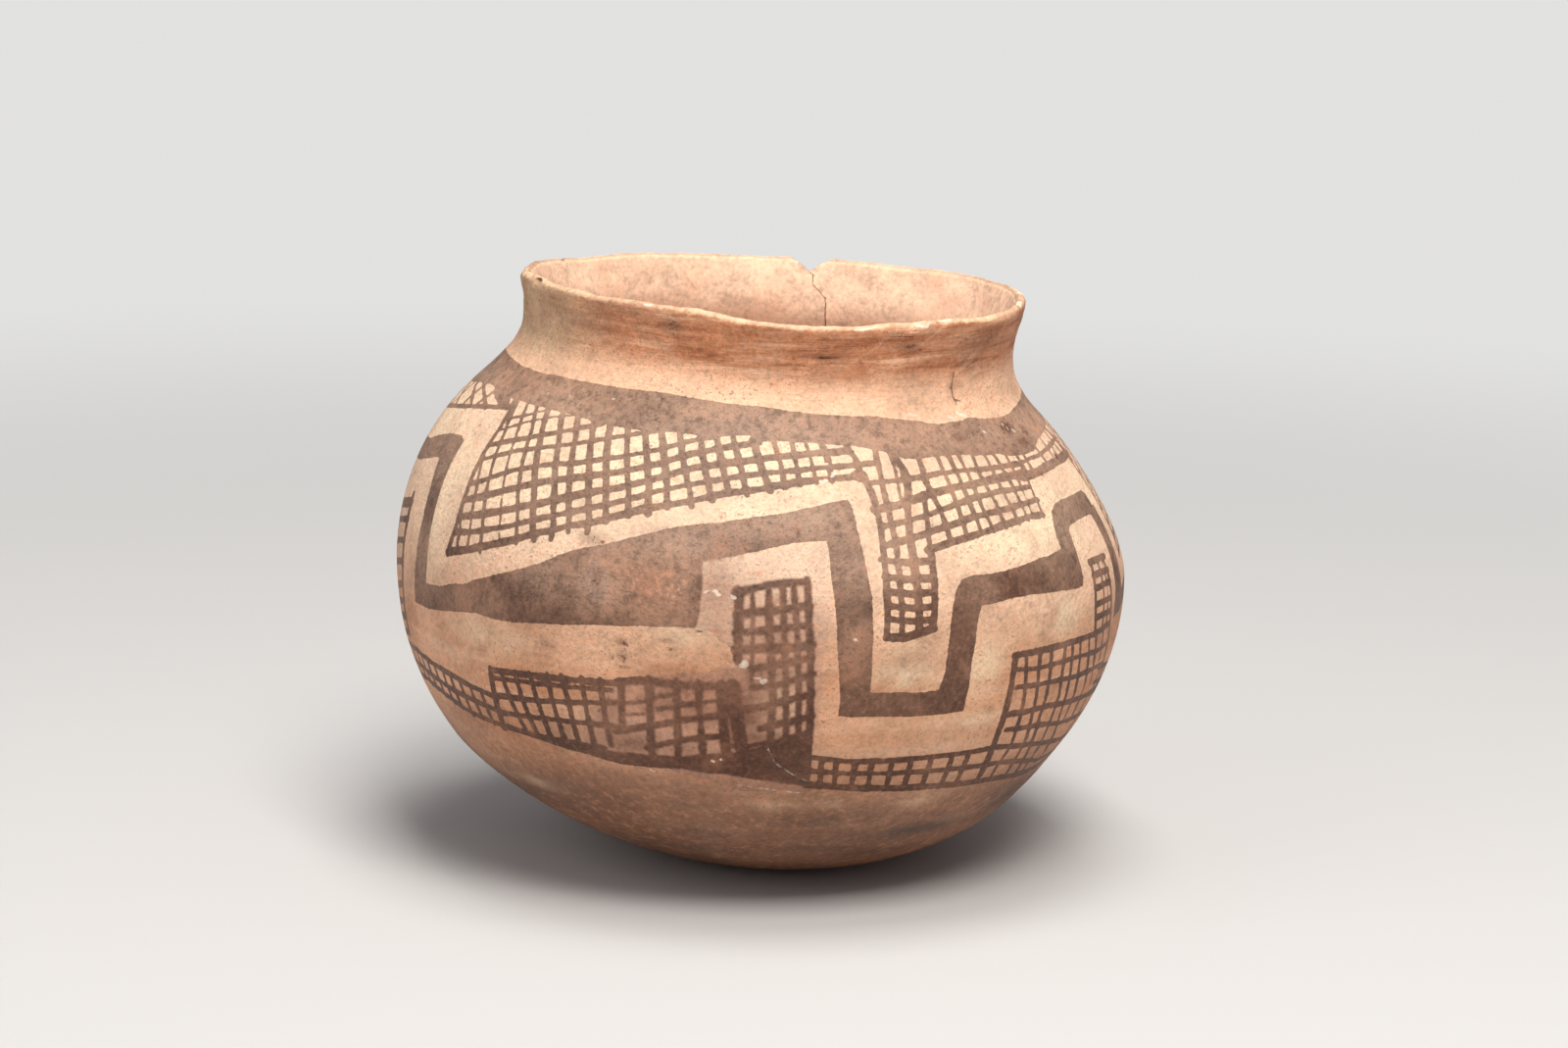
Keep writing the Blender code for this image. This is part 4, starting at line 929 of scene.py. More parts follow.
        (0.3, (60.2, 123.6), (60.7, 123.3)), (0.5, (52, 123), (53, 122.4)),
        (0.5, (61.4, 122.8), (61.9, 122)),
    ),
}


# How the rim strays from a true circle: turn, millimetres outward and millimetres up
rimStray = (
    (-180, 0.0, -0.55), (-150, 0.0, -0.55), (-125, 0.4, -0.6), (-112, 1.3, 0.1), (-102, 1.7, 0.45),
    (-90, 1.3, 0.3), (-80, 1.3, 0.1), (-70, 0.45, 0.1), (-60, 0.05, 0.2), (-45, 0.0, 0.15),
    (-30, 0.0, 0.0), (-20, 0.0, -0.35), (-10, 0.0, -1.2), (0, 0.0, -2.1), (8, 0.0, -2.35),
    (18, 0.0, -2.0), (27, 0.1, -1.65), (36, 0.2, -0.9), (45, 0.1, -0.8), (60, 0.0, -0.5), (80, 0.0, 0.0),
    (96, 0.3, 0.3), (108, 0.7, 0.8), (122, 0.5, 0.8), (140, 0.0, 0.45), (160, 0.0, 0.1), (169, 0.0, 0.1),
    (174, 0.0, -0.5), (180, 0.0, -0.55),
)


# The wall: a tree of nodes lifts each flat sherd on to the turned line, gives it its thickness and
# its rounded lip, and lets it settle as the whole jar did
settling = {
    "Belly height": belly, "Shoulder height": shoulder, "Rim height": rim,
    "Wall": jarForm["wall"], "Base wall": jarForm["baseWall"], "Lip wall": jarForm["lipWall"],
    "Low level": levelHeight(0.45), "Tilt level": levelHeight(0.65), "High level": levelHeight(1.75),
    "Low shift": -0.0060, "High shift": -0.0012, "Neck shift": 0.0034,
    "Tilt": 3.0, "Neck tilt": -0.9, "Lip sway": 0.0009,
    "Unevenness": 0.00035, "Fine unevenness": 0.00008,
    "Neck lumps": 0.0009, "Lip chatter": 0.0006, "Lip taper": 0.0010,
    "Proud across": 0.0, "Proud back": 0.0, "Proud up": 0.0, "Seed": 3.0,
}


wallGrains = {  # scale, detail, roughness, how it is drawn out, and what it adds to the seed
    "swell": (24.0, 2.0, 0.5, even, 0.0), "ripple": (170.0, 2.0, 0.5, (1.0, 1.0, 2.2), 0.0),
    "lump": (62.0, 3.0, 0.5, (1.0, 1.0, 1.5), 1.0), "chatter": (48.0, 4.0, 0.55, (1.0, 1.0, 0.0), 2.0),
    "taper": (30.0, 3.0, 0.5, (1.0, 1.0, 0.2), 3.0),
}


def wallTree():
    tree = bpy.data.node_groups.new("settled_wall", "GeometryNodeTree")
    socket = tree.interface.new_socket
    socket("Geometry", in_out="OUTPUT", socket_type="NodeSocketGeometry")
    socket("Geometry", in_out="INPUT", socket_type="NodeSocketGeometry")
    socket("Profile", in_out="INPUT", socket_type="NodeSocketObject")
    socket("Finish", in_out="INPUT", socket_type="NodeSocketMaterial")
    for name, value in settling.items():
        socket(name, in_out="INPUT", socket_type="NodeSocketFloat").default_value = value
    graph = Graph(tree)
    given = graph.add("NodeGroupInput")

    def named(name):
        return graph.add("GeometryNodeInputNamedAttribute", {"data_type": "FLOAT"}, name)

    line = graph.add("GeometryNodeObjectInfo", None, given.out("Profile"))
    sample = graph.add(
        "GeometryNodeSampleCurve", {"mode": "LENGTH"}, Curves=line.out("Geometry"), Length=named("along"),
    )
    point = graph.add("ShaderNodeSeparateXYZ", None, sample.out("Position"))
    ahead = graph.add("ShaderNodeSeparateXYZ", None, sample.out("Tangent"))
    height = point.out("Z")
    turn = named("turn")
    angle = turn * math.radians(1.0)
    toBelly = height.rise(0.0, given.out("Belly height"))
    toRim = height.rise(given.out("Shoulder height"), given.out("Rim height"))
    wall = given.out("Wall") + (given.out("Base wall") - given.out("Wall")) * (1.0 - toBelly)
    wall = wall - (given.out("Wall") - given.out("Lip wall")) * toRim
    sine, cosine = angle.maths("SINE", angle), angle.maths("COSINE", angle)
    ring = graph.add("ShaderNodeCombineXYZ", None, point.out("X") * sine, point.out("X") * cosine, height)
    swell, ripple, lump, chatter, taper = (
        graph.noise(ring, *grain, given.out("Seed") + further) for *grain, further in wallGrains.values()
    )
    uneven = given.out("Unevenness") * swell.rise(0.3, 0.7) + given.out("Fine unevenness") * ripple
    wall = wall - given.out("Lip taper") * (0.3 + taper.rise(0.3, 0.6)) * toRim * toRim * toRim
    uneven = uneven + given.out("Neck lumps") * lump.rise(0.36, 0.66) * toRim
    half = wall * 0.5
    crest = named("crest") * math.pi
    outward = half * crest.maths("COSINE", crest) - half - uneven - named("dent")
    upward = half * crest.maths("SINE", crest) * named("lift")
    radius = point.out("X") + ahead.out("Z") * outward + ahead.out("X") * upward
    level = height - ahead.out("X") * outward + ahead.out("Z") * upward
    radius = radius + named("stray") * toRim * toRim
    across = radius * sine
    lean = level.rise(given.out("Tilt level"), given.out("Shoulder height")) * given.out("Tilt")
    upper = level.rise(given.out("Shoulder height"), given.out("Rim height"))
    lean = (lean + upper * given.out("Neck tilt")) * math.radians(1.0)
    shift = level.rise(0.0, given.out("Low level")) * given.out("Low shift")
    shift = shift + level.rise(given.out("Belly height"), given.out("High level")) * given.out("High shift")
    shift = shift + upper * given.out("Neck shift")
    sway = (cosine + 1.0) * given.out("Lip sway") * upper + named("rise") * toRim
    sway = sway - chatter.rise(0.34, 0.66) * given.out("Lip chatter") * toRim
    settledHeight = level - lean.maths("TANGENT", lean) * across + sway + given.out("Proud up")
    place = graph.add(
        "ShaderNodeCombineXYZ", None, across + shift + given.out("Proud across"),
        radius * cosine * -1.0 + given.out("Proud back"), settledHeight.most(0.0),
    )
    shaped = graph.add("GeometryNodeSetPosition", None, given.out("Geometry"), None, place)
    whole = graph.add("GeometryNodeRealizeInstances", None, shaped)
    finished = graph.add("GeometryNodeSetMaterial", None, whole, None, given.out("Finish"))
    graph.add("NodeGroupOutput", None, finished)
    return tree


def profileCurve():
    curve = bpy.data.curves.new("profile", "CURVE")
    curve.dimensions = "3D"
    spline = curve.splines.new("POLY")
    spline.points.add(len(lineRadius) - 1)
    for point, radius, height in zip(spline.points, lineRadius, lineHeight):
        point.co = (radius, 0.0, height, 1.0)
    holder = bpy.data.objects.new("profile", curve)
    bpy.context.scene.collection.objects.link(holder)
    return holder


# Finishes.  What varies is mixed from noise in object space and from what each point carries:
# how far it is from paint, cracks and marks in millimetres, how worn it is, and how much sooty darkening and
# painted shade lies on it
looks = {
    "slipped_clay": {
        "ground": ((0.54, 0.250, 0.130), (0.77, 0.420, 0.252)), "light": (0.88, 0.58, 0.40),
        "paint": ((0.088, 0.041, 0.025), (0.235, 0.118, 0.076)), "edge": (-0.10, 0.13),
        "thin": (0.80, 1.0), "flake": (0.64, 0.10), "grain": 1.0,
    },
    "toned_plaster": {
        "ground": ((0.46, 0.225, 0.140), (0.66, 0.365, 0.240)), "light": (0.78, 0.47, 0.33),
        "paint": ((0.078, 0.034, 0.021), (0.185, 0.083, 0.051)), "edge": (-0.34, 0.56),
        "thin": (0.70, 1.0), "flake": (0.67, 0.06), "grain": 0.85,
    },
    "grey_filler": {
        "ground": ((0.22, 0.150, 0.120), (0.34, 0.260, 0.220)), "light": (0.44, 0.36, 0.32),
        "paint": ((0.088, 0.045, 0.030), (0.225, 0.112, 0.072)), "edge": (-0.3, 0.4),
        "thin": (0.72, 1.0), "flake": (0.58, 0.06), "grain": 1.2,
    },
}
tones = {
    "upper": (0.88, 0.650, 0.475), "neck": (0.88, 0.520, 0.330), "neckTop": (0.475, 0.182, 0.080),
    "neckEnd": (0.62, 0.430, 0.260), "cream": (0.88, 0.70, 0.475), "flaked": (0.58, 0.265, 0.150),
    "inner": ((0.66, 0.365, 0.235), (0.96, 0.650, 0.455)), "raw": (0.33, 0.18, 0.12),
    "rust": (0.42, 0.185, 0.105),
    "soot": (0.092, 0.066, 0.052), "crack": (0.060, 0.028, 0.018), "pale": (0.92, 0.77, 0.63),
    "stain": (0.060, 0.030, 0.020), "speck": (0.17, 0.080, 0.050), "lip": (0.90, 0.600, 0.390),
    "smear": (0.20, 0.095, 0.058), "streak": (0.27, 0.092, 0.045), "innerCrack": (0.40, 0.185, 0.105),
    "base": ((0.120, 0.054, 0.033), (0.250, 0.120, 0.073)), "shadedAndFreshPaint": (0.098, 0.036, 0.019),
    "sheenAndFadedPaint": (0.400, 0.260, 0.185),
}


clayGrains = {  # scale, detail, roughness, how it is drawn out, seed
    "cloud": (19.0, 4.0, 0.5, even, 1.0), "mottle": (85.0, 6.0, 0.66, even, 2.0),
    "wipe": (60.0, 5.0, 0.6, (0.28, 0.28, 3.2), 3.0), "wobble": (140.0, 2.0, 0.5, even, 4.0),
    "ragged": (850.0, 3.0, 0.6, even, 5.0), "flake": (430.0, 6.0, 0.7, even, 6.0),
    "thinning": (48.0, 6.0, 0.68, even, 7.0), "grit": (1500.0, 2.0, 0.5, even, 8.0),
    "drag": (100.0, 5.0, 0.66, (0.40, 0.40, 4.0), 9.0),
    "polish": (130.0, 4.0, 0.62, (0.30, 0.30, 3.2), 10.0),
}
# the lip's left end is wiped paler round a place, from full to none by a distance from it
neckEnd = {"place": (-0.0620, -0.0200, 0.1440), "full": 0.008, "none": 0.042}


class Clay:
    # the wires that every stage of a finish draws on: noises, and what each point carries
    def __init__(self, graph):
        self.graph = graph
        self.place = graph.add("ShaderNodeTexCoord").out("Object")
        parts = graph.add("ShaderNodeSeparateXYZ", None, self.place)
        slant = graph.add(
            "ShaderNodeCombineXYZ", None, parts * 0.8 + parts.out("Z") * 0.6, parts.out("Y"),
            parts.out("Z") * 0.8 - parts * 0.6,
        )
        for key, grain in clayGrains.items():
            setattr(self, key, graph.noise(slant if key == "polish" else self.place, *grain))
        self.drift, self.rub = self.cloud * 0.5 + self.thinning * 0.5, self.mottle * 0.5 + self.flake * 0.5
        for key in ("along", "crest", "lift", "paint", "worn", "cream", "soot", "toned", "fresh", "faded"):
            setattr(self, key, self.named(key))
        rough, dirt = self.ragged - 0.5, self.named("dirt")
        self.smeared = dirt.rise(0.10, 1.0) * self.rub.rise(0.34, 0.60, 0.4, 1.0)
        spots = self.flake * 0.4 + self.ragged * 0.3 + self.grit * 0.3
        self.spotted = spots.rise(0.60 - dirt * 0.16, 0.70 - dirt * 0.16) * dirt.rise(0.05, 0.5)
        self.chipped = 1.0 - (self.named("pale") + rough * 1.6 + (self.flake - 0.5) * 1.2).rise(-0.15, 0.2)
        self.cracked = 1.0 - (self.named("crack") + rough * 0.6).rise(-0.12, 0.12)
        self.inside = self.crest.rise(0.55, 0.85)
        broken = self.crest.rise(0.01, 0.05) * (1.0 - self.crest.rise(0.95, 0.99))
        self.broken = broken * (1.0 - self.lift.rise(0.05, 0.3))

    def named(self, key):
        return self.graph.add("ShaderNodeAttribute", {"attribute_name": key}).out("Fac")

    def between(self, low, high, first=0.0, last=1.0):  # a smooth step from one height in mm to another
        start, end = (float(alongAt(height * mm)) for height in (low, high))
        return self.along.rise(start, end, first, last)


def slipped(clay, look):
    # wiped on in long level strokes, warmer below; paler higher up and darker at the base as painted light
    # and shade, with sooty patches low down
    thick, thin = look["paint"]
    underLip = clay.between(131, 139) * (1.0 - clay.between(147, 149) * 0.5)
    leftEnd = clay.graph.vector("DISTANCE", clay.place, neckEnd["place"]).out("Value")
    leftEnd = (1.0 - leftEnd.rise(neckEnd["full"], neckEnd["none"])) * clay.between(126, 136)
    # the body darkens towards the base: painted shade, mottled with sooty patches
    shadeAndSootMottle = 0.62 + clay.thinning.rise(0.32, 0.62, 0.0, 0.38)
    under = (1.0 - clay.between(24, 56)) * shadeAndSootMottle * (1.0 - clay.cream * 0.7)
    peppered = 0.15 + clay.thinning.rise(0.44, 0.60, 0.0, 0.45)
    return clay.graph.coated(
        clay.graph.tint(clay.cloud.rise(0.35, 0.65), *look["ground"]),
        # painted light: the slip turns paler up the belly, towards the light above
        (clay.between(62, 98, 0.0, 0.72), tones["upper"]),
        (clay.wipe.rise(0.44, 0.74) * 0.55, look["light"]),
        (clay.between(122, 129, 0.0, 0.75), tones["neck"]),
        (underLip * (clay.drag * 0.6 + clay.mottle * 0.4).rise(0.30, 0.58, 0.30, 1.0), tones["neckTop"]),
        (underLip * clay.drag.rise(0.53, 0.64) * 0.6, tones["streak"]),
        (underLip * clay.drag.rise(0.34, 0.46, 0.45, 0.0), tones["neck"]),
        (leftEnd * clay.mottle.rise(0.28, 0.56, 0.30, 0.80), tones["neckEnd"]),
        (clay.cream * clay.mottle.rise(0.30, 0.58), tones["cream"]),
        # painted shade with sooty patches over the underside
        (under * 0.95, clay.graph.tint(clay.drift.rise(0.40, 0.60), *tones["base"])),
        # painted reflection: the foot is kept lighter and redder, as if lit from below by the floor
        (clay.between(2, 13, 0.70, 0.0), look["ground"][0]),
        (clay.flake.rise(0.50, 0.66) * 0.55, tones["flaked"]),
        (clay.polish.rise(0.54, 0.72) * clay.between(34, 60, 0.08, 0.30), look["light"]),
        (clay.mottle.rise(0.55, 0.72) * 0.45, tones["speck"]),
        (clay.ragged.rise(0.56, 0.68) * peppered, tones["speck"]),
        (clay.grit.rise(0.58, 0.70) * peppered, tones["speck"]),
        (clay.toned * clay.thinning.rise(0.34, 0.60, 0.55, 1.0), thin),  # in-painting over the ground
        (clay.toned * clay.mottle.rise(0.50, 0.66) * 0.6, thick),
    )


def paintTone(clay, look):
    thick, thin = look["paint"]
    return clay.graph.coated(
        clay.graph.tint(clay.thinning.rise(0.34, 0.64), thin, thick),
        (clay.wipe.rise(0.45, 0.72) * 0.5, thin),
        # painted sheen: the paint higher on the shoulder turns lighter and greyer, as if the light above
        # glints on it; faded spots take the same colour
        (clay.between(82, 104, 0.04, 0.50) * clay.drift.rise(0.38, 0.58, 0.30, 1.0), tones["sheenAndFadedPaint"]),
        (clay.faded * clay.mottle.rise(0.30, 0.62, 0.45, 1.0), tones["sheenAndFadedPaint"]),
        # painted shade: the paint lower down is darker, away from the light above; fresh spots darken it too
        (clay.between(44, 86, 0.85, 0.0).most(clay.fresh * 0.8), tones["shadedAndFreshPaint"]),
        (clay.ragged.rise(0.50, 0.66) * 0.50, thin),
        (clay.flake.rise(0.36, 0.50, 0.40, 0.0), thick),
        (clay.mottle.rise(0.52, 0.70) * 0.45, tones["rust"]),
        (clay.grit.rise(0.54, 0.66) * 0.45, tones["stain"]),
    )


def painted(clay, look, colour):
    # the brushwork, ragged at its edges, thin in places and flaked where it is worn; its share as well
    edge = clay.paint + (clay.wobble - 0.5) * 1.0 + (clay.ragged - 0.5) * 0.6
    share = 1.0 - edge.rise(*look["edge"])
    rusty = share * clay.worn * clay.mottle.rise(0.30, 0.56, 0.30, 0.85)
    share = share * clay.thinning.rise(0.30, 0.60, *look["thin"])
    share = share * (1.0 - clay.between(116, 123) * clay.rub.rise(0.36, 0.60, 0.0, 0.22))
    flakeFrom, flakeBy = look["flake"]
    threshold = flakeFrom - clay.worn * flakeBy
    chips = clay.flake * 0.60 + clay.ragged * 0.25 + clay.grit * 0.15
    share = share * (1.0 - chips.rise(threshold, threshold + 0.04) * 0.8)
    share = share * (1.0 - clay.worn * clay.rub.rise(0.34, 0.62, 0.25, 1.0) * 0.70)
    return clay.graph.coated(colour, (rusty, tones["rust"]), (share, paintTone(clay, look))), share


def aged(clay, colour):
    # sooty darkening with painted shade at the base, then smears, stains, pale chips and cracks
    smokeAndShadeMottle = (clay.mottle * 0.5 + clay.thinning * 0.5).rise(0.38, 0.58)
    return clay.graph.coated(
        colour, (clay.soot * (0.15 + smokeAndShadeMottle * 0.85), tones["soot"]), (clay.smeared * 0.80, tones["smear"]),
        (clay.spotted * 0.70, tones["stain"]), (clay.chipped * 0.65, tones["pale"]),
        (clay.cracked * 0.6, tones["crack"]),
    )


def innerAndLip(clay, colour):
    # the bare inside, the worn lip and the raw break faces
    clouds = clay.cloud.rise(0.50, 0.66) * (1.0 - clay.between(118, 146, 0.0, 0.8))
    inner = clay.graph.coated(
        clay.graph.tint(clay.between(100, 142), *tones["inner"]),
        (clay.mottle.rise(0.50, 0.72) * 0.35, tones["flaked"]), (clay.cracked * 0.45, tones["innerCrack"]),
        (clouds * clay.mottle.rise(0.36, 0.66, 0.1, 0.38), tones["innerCrack"]),
    )
    wander = clay.crest + (clay.mottle - 0.5) * 0.30 + (clay.flake - 0.5) * 0.20
    lip = clay.lift.rise(0.35, 0.9) * wander.rise(0.14, 0.34) * (1.0 - wander.rise(0.62, 0.95) * 0.6)
    lip = lip * clay.rub.rise(0.32, 0.56, 0.25, 0.80)
    raw = clay.graph.tint(clay.grit.rise(0.4, 0.65), tones["raw"], tones["flaked"])
    return clay.graph.coated(
        colour, (clay.inside, inner), (lip * (1.0 - clay.toned * 0.9), tones["lip"]),
        (clay.lift.rise(0.35, 0.9) * clay.chipped * 0.85, tones["pale"]), (clay.broken, raw),
    )


def reliefOf(clay, share):
    relief = clay.mottle * 0.70 + clay.wipe * 0.35 + clay.ragged * 0.40 + clay.grit * 0.16
    relief = relief + clay.flake * 0.35 + clay.polish * clay.between(34, 60, 0.15, 0.45)
    relief = relief + clay.drag * clay.between(126, 133, 0.15, 0.75) * (1.0 - clay.inside * 0.85)
    relief = relief + share * 0.10 + clay.chipped * 0.12 - clay.cracked * 0.8 - clay.spotted * 0.3
    return relief * (1.0 - clay.inside * 0.7)


def finishOf(name, look):
    material = bpy.data.materials.new(name)
    material.use_nodes = True
    graph = Graph(material.node_tree)
    clay = Clay(graph)
    colour, share = painted(clay, look, slipped(clay, look))
    colour = innerAndLip(clay, aged(clay, colour))
    patchy = 0.42 + clay.mottle.rise(0.28, 0.72) * 0.30 + clay.ragged.rise(0.25, 0.75) * 0.34
    patchy = patchy + clay.flake.rise(0.25, 0.75) * 0.34 + clay.thinning.rise(0.28, 0.72) * 0.20
    colour = graph.tint(1.0, colour, patchy.least(1.15), "MULTIPLY")
    normal = graph.add(
        "ShaderNodeBump", None, Strength=0.55 * look["grain"] + 0.2, Distance=0.0010,
        Height=reliefOf(clay, share),
    )
    rough = 0.56 + clay.mottle * 0.24 + clay.broken * 0.15 - share * 0.12 + clay.inside * 0.15
    shader = graph.add(
        "ShaderNodeBsdfPrincipled", None, Base_Color=colour, Roughness=rough, Normal=normal,
        Specular_IOR_Level=0.26,
    )
    graph.add("ShaderNodeOutputMaterial", None, shader)
    return material


finishes = {name: finishOf(name, look) for name, look in looks.items()}


# Each sherd: its outer skin, its inner skin and the break faces between them
sherds = {
    "body_and_base": "slipped_clay", "belly_sherd_left": "slipped_clay",
    "belly_sherd_right": "slipped_clay", "shoulder_sherd_front": "slipped_clay",
    "neck_sherd_right": "slipped_clay", "rim_sherd_back_left": "slipped_clay",
    "rim_sherd_back_right": "slipped_clay", "plaster_infill": "toned_plaster",
    "grey_plug_fill": "grey_filler",
}
standsProud = {"rim_sherd_back_left": (208.0, 0.0004, 0.0002)}  # turn, metres outward and up
# where the outer skin, the inner skin and the break faces lie in a sherd's picture: a box has its
# left, bottom, right and top; the base is laid out round its pole and needs other boxes
pictureBoxes = {
    "strip": ((0.01, 0.24, 0.99, 0.99), (0.01, 0.01, 0.48, 0.21), (0.52, 0.01, 0.99, 0.21)),
    "polar": ((0.01, 0.20, 0.80, 0.99), (0.82, 0.82, 0.99, 0.99), (0.01, 0.01, 0.79, 0.18)),
}
crackDent = {"depth": 0.35, "reach": 0.6}  # in millimetres


def fitted(places, box):
    # lays places evenly into a box of the picture, keeping no proportion
    low, high = places.min(axis=0), places.max(axis=0)
    share = (places - low) / np.maximum(high - low, tiny)
    return np.array(box[:2]) + share * (np.array(box[2:]) - np.array(box[:2]))


def pictureOf(points, box, polar):
    turn, along = points.T
    angle = np.radians(turn)
    if polar:
        middle = np.array(((box[0] + box[2]) / 2.0, (box[1] + box[3]) / 2.0))
        reach = min(box[2] - box[0], box[3] - box[1]) / 2.0 * along / along.max()
        return middle + np.column_stack([reach * np.sin(angle), -reach * np.cos(angle)])
    radius = float(radiusAt(along.mean()))
    return fitted(np.column_stack([angle * radius, along]), box)


def edgeFaces(index, box):
    # two triangles between each two points of neighbouring rows, and their corners in the picture
    rows, count = len(index) - 1, len(index[0])
    after = np.roll(np.arange(count), -1)
    across = box[0] + (box[2] - box[0]) * np.arange(count + 1) / count
    left, right = across[:-1], across[1:]
    faces, pictures = [], []
    for row in range(rows):
        a, b = index[row], index[row][after]
        c, d = index[row + 1][after], index[row + 1]
        faces += [np.column_stack([a, b, c]), np.column_stack([a, c, d])]
        low, high = (np.full(count, box[1] + (box[3] - box[1]) * at / rows) for at in (row, row + 1))
        places = ((left, low), (right, low), (right, high), (left, high))
        pictured = [np.column_stack(pair) for pair in places]
        for corners in ((0, 1, 2), (0, 2, 3)):
            pictures.append(np.stack([pictured[corner] for corner in corners], axis=1))
    return faces, pictures


def carriedBy(points, crest, lift):
    # what every point of a sherd carries for its finish and its wall
    turn, along = around(points[:, 0]), points[:, 1]
    radius = radiusAt(along)
    onLip = along + lift * crest * math.pi / 2.0 * jarForm["lipWall"]
    carried = {"turn": turn, "along": along, "crest": crest, "lift": lift}
    carried["paint"] = distanceTo(turn, along, radius, brushwork)
    for kind in ("crack", "pale"):
        carried[kind] = distanceTo(turn, onLip, radius, surface[kind])
    for kind in ("worn", "cream", "soot", "dirt", "toned", "fresh", "faded"):
        carried[kind] = blotches(turn, onLip, surface[kind])
    dent = crackDent["depth"] * np.clip(crackDent["reach"] - carried["crack"], 0.0, 1.0)
    dent = dent + blotches(turn, onLip, surface["hollow"])
    for *spot, depth in surface["hollow"]:
        if depth < 0.0:  # a swelling, which the strongest hollow would hide
            dent = dent - blotches(turn, onLip, [(*spot, -depth)])
    carried["dent"] = dent * mm * (crest < 0.5)
    strayTurn, strayOut, strayUp = np.array(rimStray).T
    carried["stray"] = np.interp(turn, strayTurn, strayOut) * mm
    carried["rise"] = np.interp(turn, strayTurn, strayUp) * mm
    return carried


def sherdMeshOf(node):
    found = rings[node]
    polar = node == "body_and_base"
    skinBox, insideBox, edgeBox = pictureBoxes["polar" if polar else "strip"]
    backed = [setBack(ring) for ring in found]
    skin, skinFaces = sheetOf(backed, sherdMesh["outside"])
    inside, insideFaces = sheetOf(found, sherdMesh["inside"])
    points, crests, lifts = [skin, inside], [np.zeros(len(skin)), np.ones(len(inside))], []
    ringLift = np.concatenate([ring[:, 2] for ring in found])
    for sheet in (skin, inside):
        lifts.append(np.concatenate([ringLift, np.zeros(len(sheet) - len(ringLift))]))
    pictures = [
        pictureOf(skin, skinBox, polar)[skinFaces[:, ::-1]], pictureOf(inside, insideBox, polar)[insideFaces],
    ]
    faces = [skinFaces[:, ::-1], insideFaces + len(skin)]
    rows, total, first = sherdMesh["edgeRows"], len(skin) + len(inside), 0
    for ring, back in zip(found, backed):
        count = len(ring)
        index = [first + np.arange(count)]
        for row in range(1, rows):
            share = min(3.0 * row / rows, 1.0)
            points.append(back[:, :2] + (ring[:, :2] - back[:, :2]) * share)
            crests.append(np.full(count, row / rows))
            lifts.append(ring[:, 2])
            index.append(total + np.arange(count))
            total += count
        index.append(len(skin) + first + np.arange(count))
        first += count
        strip, stripPictures = edgeFaces(index, edgeBox)
        faces += strip
        pictures += stripPictures
    points, faces, pictures = np.concatenate(points), np.concatenate(faces), np.concatenate(pictures)
    mesh = bpy.data.meshes.new(node + "_flat")
    mesh.from_pydata(np.column_stack([laidFlat(*points.T), np.zeros(len(points))]), [], faces)
    for key, values in carriedBy(points, np.concatenate(crests), np.concatenate(lifts)).items():
        mesh.attributes.new(key, "FLOAT", "POINT").data.foreach_set("value", values.astype(np.float32))
    picture = mesh.uv_layers.new(name="OFBake")
    picture.data.foreach_set("uv", pictures.astype(np.float32).ravel())
    return mesh


def liftedPiece(node, mesh, tree, profile, finish):
    flat = bpy.data.objects.new(node + "_flat", mesh)
    bpy.context.scene.collection.objects.link(flat)
    modifier = flat.modifiers.new("wall", "NODES")
    modifier.node_group = tree
    values = {"Profile": profile, "Finish": finish}
    if node in standsProud:
        turn, outward, up = standsProud[node]
        values["Proud across"] = outward * math.sin(math.radians(turn))
        values["Proud back"] = -outward * math.cos(math.radians(turn))
        values["Proud up"] = up
    for item in tree.interface.items_tree:
        if item.in_out == "INPUT" and item.name in values:
            modifier[item.identifier] = values[item.name]
    flat.update_tag()
    graph = bpy.context.evaluated_depsgraph_get()
    made = bpy.data.meshes.new_from_object(flat.evaluated_get(graph), depsgraph=graph)
    flat.modifiers.clear()
    bpy.data.objects.remove(flat)
    made.name = node + "_skin"
    made.shade_smooth()
    made.set_sharp_from_angle(angle=math.radians(sherdMesh["sharp"]))
    piece = bpy.data.objects.new(node + "_clay", made)
    bpy.context.scene.collection.objects.link(piece)
    return piece


tree, profile = wallTree(), profileCurve()
for node, slot in sherds.items():
    piece = liftedPiece(node, sherdMeshOf(node), tree, profile, finishes[slot])
    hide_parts(node)
    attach(piece, "root")
    print("sherd:", node, len(piece.data.polygons), "triangles")
bpy.data.objects.remove(profile)


# The studio: pale floor and wall, a large soft lamp above the front and gentle fill.  A lamp has
# its place, size in metres, power in watts and colour
studio = {
    "floor": (0.60, 0.595, 0.59), "back": (0.76, 0.757, 0.75), "backFrom": 0.28, "backTo": 1.05,
    "world": (0.95, 0.96, 1.0), "worldStrength": 0.30,
    "lamps": (
        ((0.35, -1.05, 1.65), 0.8, 30.0, (1.0, 0.955, 0.90)),
        ((-1.4, -0.9, 1.0), 1.2, 5.0, (0.95, 0.97, 1.0)),
        ((0.05, -0.15, 1.5), 0.6, 11.0, (1.0, 0.97, 0.93)),
    ),
    "lampAim": (0.0, 0.0, 0.08),
    "sheetHalf": 6.0, "bendAt": 2.2, "bendRadius": 1.4, "bendSteps": 16, "sheetTop": 5.0,
}


def paperFinish():
    # plain paper; far from the jar the camera sees it evenly pale, and it lights nothing more
    material = bpy.data.materials.new("studio_paper")
    material.use_nodes = True
    graph = Graph(material.node_tree)
    paper = graph.add("ShaderNodeBsdfDiffuse", None, (*studio["floor"], 1.0))
    seen = graph.add("ShaderNodeEmission", None, (*studio["back"], 1.0), 1.0)
    away = graph.vector("LENGTH", graph.add("ShaderNodeTexCoord").out("Object")).out("Value")
    share = away.rise(studio["backFrom"], studio["backTo"])
    share = share * graph.add("ShaderNodeLightPath").out("Is Camera Ray")
    graph.add("ShaderNodeOutputMaterial", None, graph.add("ShaderNodeMixShader", None, share, paper, seen))
    return material


